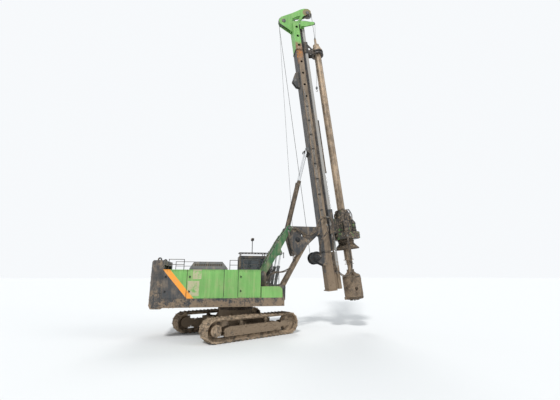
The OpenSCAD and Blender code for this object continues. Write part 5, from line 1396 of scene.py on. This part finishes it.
class RIG_OT_cab_fittings(bpy.types.Operator):
    """Wiper, grab bar and steps of the cab, and the mesh behind the hood's vents"""

    bl_idname = "rig.cab_fittings"
    bl_label = "Cab and hood fittings"

    def execute(self, context):
        sweep = [(4.0, 1.24 + 0.30 * t, 2.82 + 0.62 * t) for t in np.linspace(0, 1, 8)]
        arm = laid("cab_glass", sweep, (-1, 0, 0), 0.030)
        blade = laid("cab_glass", [(4.0, 1.36, z) for z in np.linspace(2.85, 3.50, 9)], (-1, 0, 0), 0.012)
        parts = [tube(smooth_path(arm, 4), 0.007, 8), tube(smooth_path(blade, 4), 0.009, 8)]
        make_piece("wiper", parts, "hose", "superstructure")
        self.grab_bar(0.30, 2.10, 2.90)
        self.steps()
        self.hood_mesh()
        return {"FINISHED"}

    def grab_bar(self, x, low, high):
        """Upright bar on the cab's left side, between two heights."""
        face = touch("cab_shell", (x, 3.0, (low + high) / 2), (0, -1, 0))[0][1]
        rows = np.array([(x, face - 0.005, low), (x, face + 0.045, low + 0.02), (x, face + 0.055, low + 0.08),
                         (x, face + 0.055, high - 0.08), (x, face + 0.045, high - 0.02),
                         (x, face - 0.005, high)])
        make_piece("grab_bar_superstructure", tube(smooth_path(rows, 5), 0.013, 10), "black_paint",
                   "superstructure")

    def steps(self):
        """Two pairs of steps on the left side of the deck, each a bent bar with three treads."""
        side = 1.49
        treads = []
        for x in (-0.35, 1.35):
            for z, reach in ((1.47, 0.16), (1.70, 0.10)):
                rows = np.array([(x, side, z + 0.06), (x, side + reach, z + 0.03),
                                 (x + 0.04, 1.50 + reach, z), (x + 0.31, 1.50 + reach, z),
                                 (x + 0.35, side + reach, z + 0.03),
                                 (x + 0.35, side, z + 0.06)])
                treads.append(tube(smooth_path(rows, 5), 0.014, 10))
                treads += [world_block((x + 0.03, 1.505 + reach * share, z - 0.006),
                                       (x + 0.32, 1.53 + reach * share, z + 0.010), 0.003)
                           for share in (0.25, 0.55, 0.80)]
        make_piece("steps_left", treads, "black_paint", "superstructure")

    def hood_mesh(self):
        """Mesh that lines both slanted sides of the hood from inside: y = foot + lean * (z - low) - inset."""
        low, high, inset = 3.30, 3.52, 0.019
        mesh = []
        for side in (-1, 1):
            foot, top = (touch("engine_hood", (-2.11, side * 3.0, z), (0, -side, 0))[0][1]
                         for z in (low, high))
            lean = (top - foot) / (high - low)
            points, quads, texture = world_block((-2.22, -0.004, 3.31), (-0.76, 0.004, 3.48), 0.001)
            points[:, 1] += foot + lean * (points[:, 2] - low) - side * inset
            mesh.append((points, quads, texture))
        make_piece("hood_mesh", mesh, "vent_mesh", "engine_hood")


class RIG_OT_kelly_fittings(bpy.types.Operator):
    """Weld beads of the kelly bar, the bucket's bands and bolts, and the guide's bolts"""

    bl_idname = "rig.kelly_fittings"
    bl_label = "Kelly and bucket fittings"

    def execute(self, context):
        axis = on_mast(KELLY_AHEAD, 0, 0)
        bead = lathe([(0.2155, -0.012), (0.2225, -0.006), (0.2245, 0.0), (0.2225, 0.006),
                      (0.2155, 0.012)], 40)
        levels = [-1.55, -1.30, 2.55, 5.10, 7.65, 10.20]
        make_piece("kelly_welds", stamped(bead, [axis + MAST_UP * level for level in levels], MAST_UP),
                   "kelly_steel", "kelly_outer")
        band = lathe([(0.499, -0.045), (0.508, -0.040), (0.508, 0.040), (0.499, 0.045)], 60)
        rim = lathe([(0.499, -0.03), (0.514, -0.03), (0.514, 0.03), (0.499, 0.03)], 60)
        bands = [stamped(band, axis + MAST_UP * -2.79, MAST_UP),
                 stamped(rim, axis + MAST_UP * -3.90, MAST_UP)]
        make_piece("bucket_bands", bands, "muddy_steel", "kelly_inner")
        rows = [on_mast(*around_kelly(0.405, angle), -2.66) for angle in np.arange(16) * 22.5]
        make_bolts("bucket_bolts", stamped(bolt_head(0.014), rows, MAST_UP), "kelly_inner")
        bolts, normals = [], []
        for side in (-1, 1):
            for up in (11.76, 11.92, 12.28, 12.44):
                for ahead in (0.78, 0.90):
                    hit = touch("kelly_guide", on_mast(ahead, side * 2, up), (0, -side, 0))
                    if hit:
                        bolts.append(hit[0])
                        normals.append(hit[1])
        make_bolts("guide_bolts", stamped(bolt_head(0.016), bolts, normals), "kelly_guide")
        return {"FINISHED"}


MUD_SHAPES = 5


def mud_lump(seed):
    """A flat lump: rings of radius r with height (1 - r^2)^0.8, both made uneven."""
    chance = np.random.default_rng(seed)
    sides, rings = 11, 4
    angle = np.arange(sides) / sides * 2 * np.pi
    r = np.linspace(1, 0.0, rings)[:, None]
    uneven = 1 + 0.32 * np.sin(angle * 2 + chance.uniform(0, 6)) * chance.uniform(0.4, 1) \
        + 0.2 * np.sin(angle * 3 + chance.uniform(0, 6)) + 0.1 * chance.standard_normal(sides)
    height = 0.42 * (1 - r ** 2) ** 0.8 * (1 + 0.35 * chance.standard_normal((rings, sides)) * (r > 0.01))
    points = np.stack([r * uneven * np.cos(angle), r * uneven * np.sin(angle), height - 0.02], -1)
    points[-1, :, 2] = points[-1, :, 2].mean()
    return patch(points, True)


class RIG_OT_mud(bpy.types.Operator):
    """Lumps of dried mud where it falls and sticks: tracks, deck, mast foot, drive and bucket"""

    bl_idname = "rig.mud"
    bl_label = "Dried mud lumps"

    def execute(self, context):
        self.chance = np.random.default_rng(20)
        down = (0, 0, -1)
        for side, name in ((-1, "right"), (1, "left")):
            y = side * 2.59
            self.scatter(f"mud_track_{name}", f"track_{name}", "undercarriage", 300,
                         (-2.3, y - 0.36, 2.0), (2.3, y + 0.36, 2.0), down, (0.02, 0.055))
            self.scatter(f"mud_track_frame_{name}", f"track_frame_{name}", "undercarriage", 170,
                         (-2.0, side * 3.4, 0.30), (2.0, side * 3.4, 0.95), (0, -side, 0), (0.025, 0.09))
            self.scatter(f"mud_deck_{name}", "deck", "superstructure", 150,
                         (-3.4, side * 3.4, 1.42), (2.25, side * 3.4, 1.78), (0, -side, 0), (0.012, 0.045))
        self.scatter("mud_counterweight", "counterweight", "superstructure", 120,
                     (-6.0, -1.4, 1.5), (-6.0, 1.4, 3.2), (1, 0, 0), (0.015, 0.05))
        self.scatter("mud_car_body", "car_body", "undercarriage", 90,
                     (-1.4, -1.5, 3.0), (1.4, 1.5, 3.0), down, (0.03, 0.09))
        self.on_drive()
        return {"FINISHED"}

    def on_drive(self):
        """Lumps round the drive and the bucket, cast in towards the kelly bar's axis."""
        for name, node, body, count, levels, size in (
                ("mud_drive", "rotary_drive", "crowd", 240, (-0.64, 0.86), (0.02, 0.06)),
                ("mud_sleeve", "drive_sleeve", "drive_sleeve", 90, (-1.2, -0.7), (0.015, 0.05)),
                ("mud_bucket", "bucket", "kelly_inner", 260, (-3.85, -2.65), (0.015, 0.055))):
            starts, ways = [], []
            for angle, level in zip(self.chance.uniform(-np.pi, np.pi, count),
                                    self.chance.uniform(*levels, count)):
                out = math.cos(angle) * MAST_FORE + math.sin(angle) * LEFT
                starts.append(on_mast(KELLY_AHEAD, 0, level) + out * 1.6)
                ways.append(-out)
            self.lay(name, node, body, starts, ways, size)
        low = [on_mast(0.37 + self.chance.uniform(-0.2, 0.2), side * 2, self.chance.uniform(-3.3, -1.4))
               for side in (-1, 1) for _ in range(70)]
        ways = [(0, -side, 0) for side in (-1, 1) for _ in range(70)]
        self.lay("mud_mast_foot", "mast_lower", "mast", low, ways, (0.015, 0.05))

    def scatter(self, name, node, body, count, low, high, way, size):
        """Lumps cast on a node from random places between two corners."""
        starts = self.chance.uniform(np.minimum(low, high), np.maximum(low, high), (count, 3))
        self.lay(name, node, body, starts, [way] * count, size)

    def lay(self, name, node, body, starts, ways, size):
        """Puts a lump where each line meets the node; its size favours the small ones."""
        places, normals = [], []
        for start, way in zip(starts, ways):
            hit = touch(node, start, way)
            if hit and np.dot(hit[1], way) < -0.35:
                places.append(hit[0])
                normals.append(hit[1])
        places, normals = np.array(places), np.array(normals)
        sizes = size[0] + (size[1] - size[0]) * self.chance.random(len(places)) ** 2.5
        kind = self.chance.integers(0, MUD_SHAPES, len(places))
        shapes = [stamped(mud_lump(number), places[kind == number], normals[kind == number],
                          sizes[kind == number])
                  for number in range(MUD_SHAPES) if (kind == number).any()]
        make_piece(name, shapes, "dried_mud", body)


# Stage


class RIG_OT_stage(bpy.types.Operator):
    """Pale floor, even light and the camera at the photograph's viewing angle"""

    bl_idname = "rig.stage"
    bl_label = "Stage"

    def execute(self, context):
        sizes = context.scene.rig_stage
        scene = context.scene
        scene.view_settings.view_transform = "Standard"
        world = bpy.data.worlds.new("pale_room")
        scene.world = world
        world.use_nodes = True
        tree = world.node_tree
        seen = tree.nodes.new("ShaderNodeLightPath")
        lit = tree.nodes["Background"]
        lit.inputs["Color"].default_value = (0.86, 0.93, 1.0, 1.0)
        lit.inputs["Strength"].default_value = sizes.sky
        shown = tree.nodes.new("ShaderNodeBackground")
        shown.inputs["Color"].default_value = (0.93, 0.95, 0.97, 1.0)
        rays = Value(tree, seen.outputs["Is Camera Ray"]).either(Value(tree, seen.outputs["Is Glossy Ray"]))
        rays = rays.either(Value(tree, seen.outputs["Is Transmission Ray"]))
        mix = tree.nodes.new("ShaderNodeMixShader")
        tree.links.new(rays.socket, mix.inputs[0])
        tree.links.new(lit.outputs[0], mix.inputs[1])
        tree.links.new(shown.outputs[0], mix.inputs[2])
        tree.links.new(mix.outputs[0], tree.nodes["World Output"].inputs[0])
        floor_size = 400.0  # half the side, in metres
        corners = np.array([[(-1, -1, 0), (1, -1, 0)], [(-1, 1, 0), (1, 1, 0)]]) * floor_size
        MATERIALS["floor"] = self.floor_material()
        floor = make_piece("floor", patch(corners), "floor")
        for name, place, strength, size in (("key_lamp", (-14, -26, 30), sizes.sun, 7),
                                            ("fill_lamp", (30, -14, 18), 0.55, 25),
                                            ("rim_lamp", (6, 30, 26), 0.8, 25)):
            light = bpy.data.lights.new(name, "SUN")
            light.energy = strength
            light.angle = math.radians(size)
            lamp = bpy.data.objects.new(name, light)
            lamp.location = place
            lamp.rotation_euler = Vector(place).to_track_quat("Z", "Y").to_euler()
            scene.collection.objects.link(lamp)
        eye = bpy.data.cameras.new("camera")
        eye.lens = sizes.lens
        eye.sensor_width = 36
        eye.clip_end = 1000
        camera = bpy.data.objects.new("camera", eye)
        camera.location = sizes.camera_place
        camera.rotation_euler = (math.pi / 2 + sizes.pitch, 0, -sizes.yaw)
        scene.collection.objects.link(camera)
        scene.camera = camera
        return {"FINISHED"}

    def floor_material(self):
        """Pale floor that keeps the rig's shadow."""
        return Board("pale_floor").finish((0.80, 0.80, 0.79), 0.9, specular_ior_level=0.1)


class RIG_OT_finishes(bpy.types.Operator):
    """Gives every CAD node its finish"""

    bl_idname = "rig.finishes"
    bl_label = "Finishes"

    def execute(self, context):
        make_materials(context.scene.rig_paints, context.scene.rig_lines)
        slots = {part["node"]: part["material_slot"] for part in frame["record"]["subparts"]}
        for name, node in frame["nodes"].items():
            material = MATERIALS.get(name, MATERIALS[slots[name]])
            for slot in node.material_slots:
                slot.material = material
        return {"FINISHED"}


PROPERTIES = (PaintColours, LineSizes, StageSizes)
PIECES = (
    RIG_OT_finishes, RIG_OT_stage, RIG_OT_hoses, RIG_OT_main_rope, RIG_OT_small_rope, RIG_OT_hook,
    RIG_OT_mast_fittings, RIG_OT_drive_fittings, RIG_OT_boom_fittings, RIG_OT_winch_fittings,
    RIG_OT_kelly_fittings, RIG_OT_seat, RIG_OT_lamps, RIG_OT_cab_fittings, RIG_OT_panel_fittings, RIG_OT_mud,
)


class RIG_PT_pieces(bpy.types.Panel):
    """Lists the rig's pieces and the sizes and colours that they take"""

    bl_label = "Piling rig"
    bl_idname = "RIG_PT_pieces"
    bl_space_type = "VIEW_3D"
    bl_region_type = "UI"
    bl_category = "Piling Rig"

    def draw(self, context):
        for group in ("rig_paints", "rig_lines", "rig_stage"):
            box = self.layout.box()
            settings = getattr(context.scene, group)
            for key in settings.bl_rna.properties.keys():
                if key not in ("rna_type", "name"):
                    box.prop(settings, key)
        for piece in PIECES:
            self.layout.operator(piece.bl_idname)


def register():
    for made in (*PROPERTIES, *PIECES, RIG_PT_pieces):
        bpy.utils.register_class(made)
    bpy.types.Scene.rig_paints = bpy.props.PointerProperty(type=PaintColours)
    bpy.types.Scene.rig_lines = bpy.props.PointerProperty(type=LineSizes)
    bpy.types.Scene.rig_stage = bpy.props.PointerProperty(type=StageSizes)


def unregister():
    del bpy.types.Scene.rig_paints, bpy.types.Scene.rig_lines, bpy.types.Scene.rig_stage
    for made in reversed((*PROPERTIES, *PIECES, RIG_PT_pieces)):
        bpy.utils.unregister_class(made)


def main():
    register()
    for piece in PIECES:
        group, name = piece.bl_idname.split(".")
        getattr(getattr(bpy.ops, group), name)()


if __name__ == "__main__":
    main()
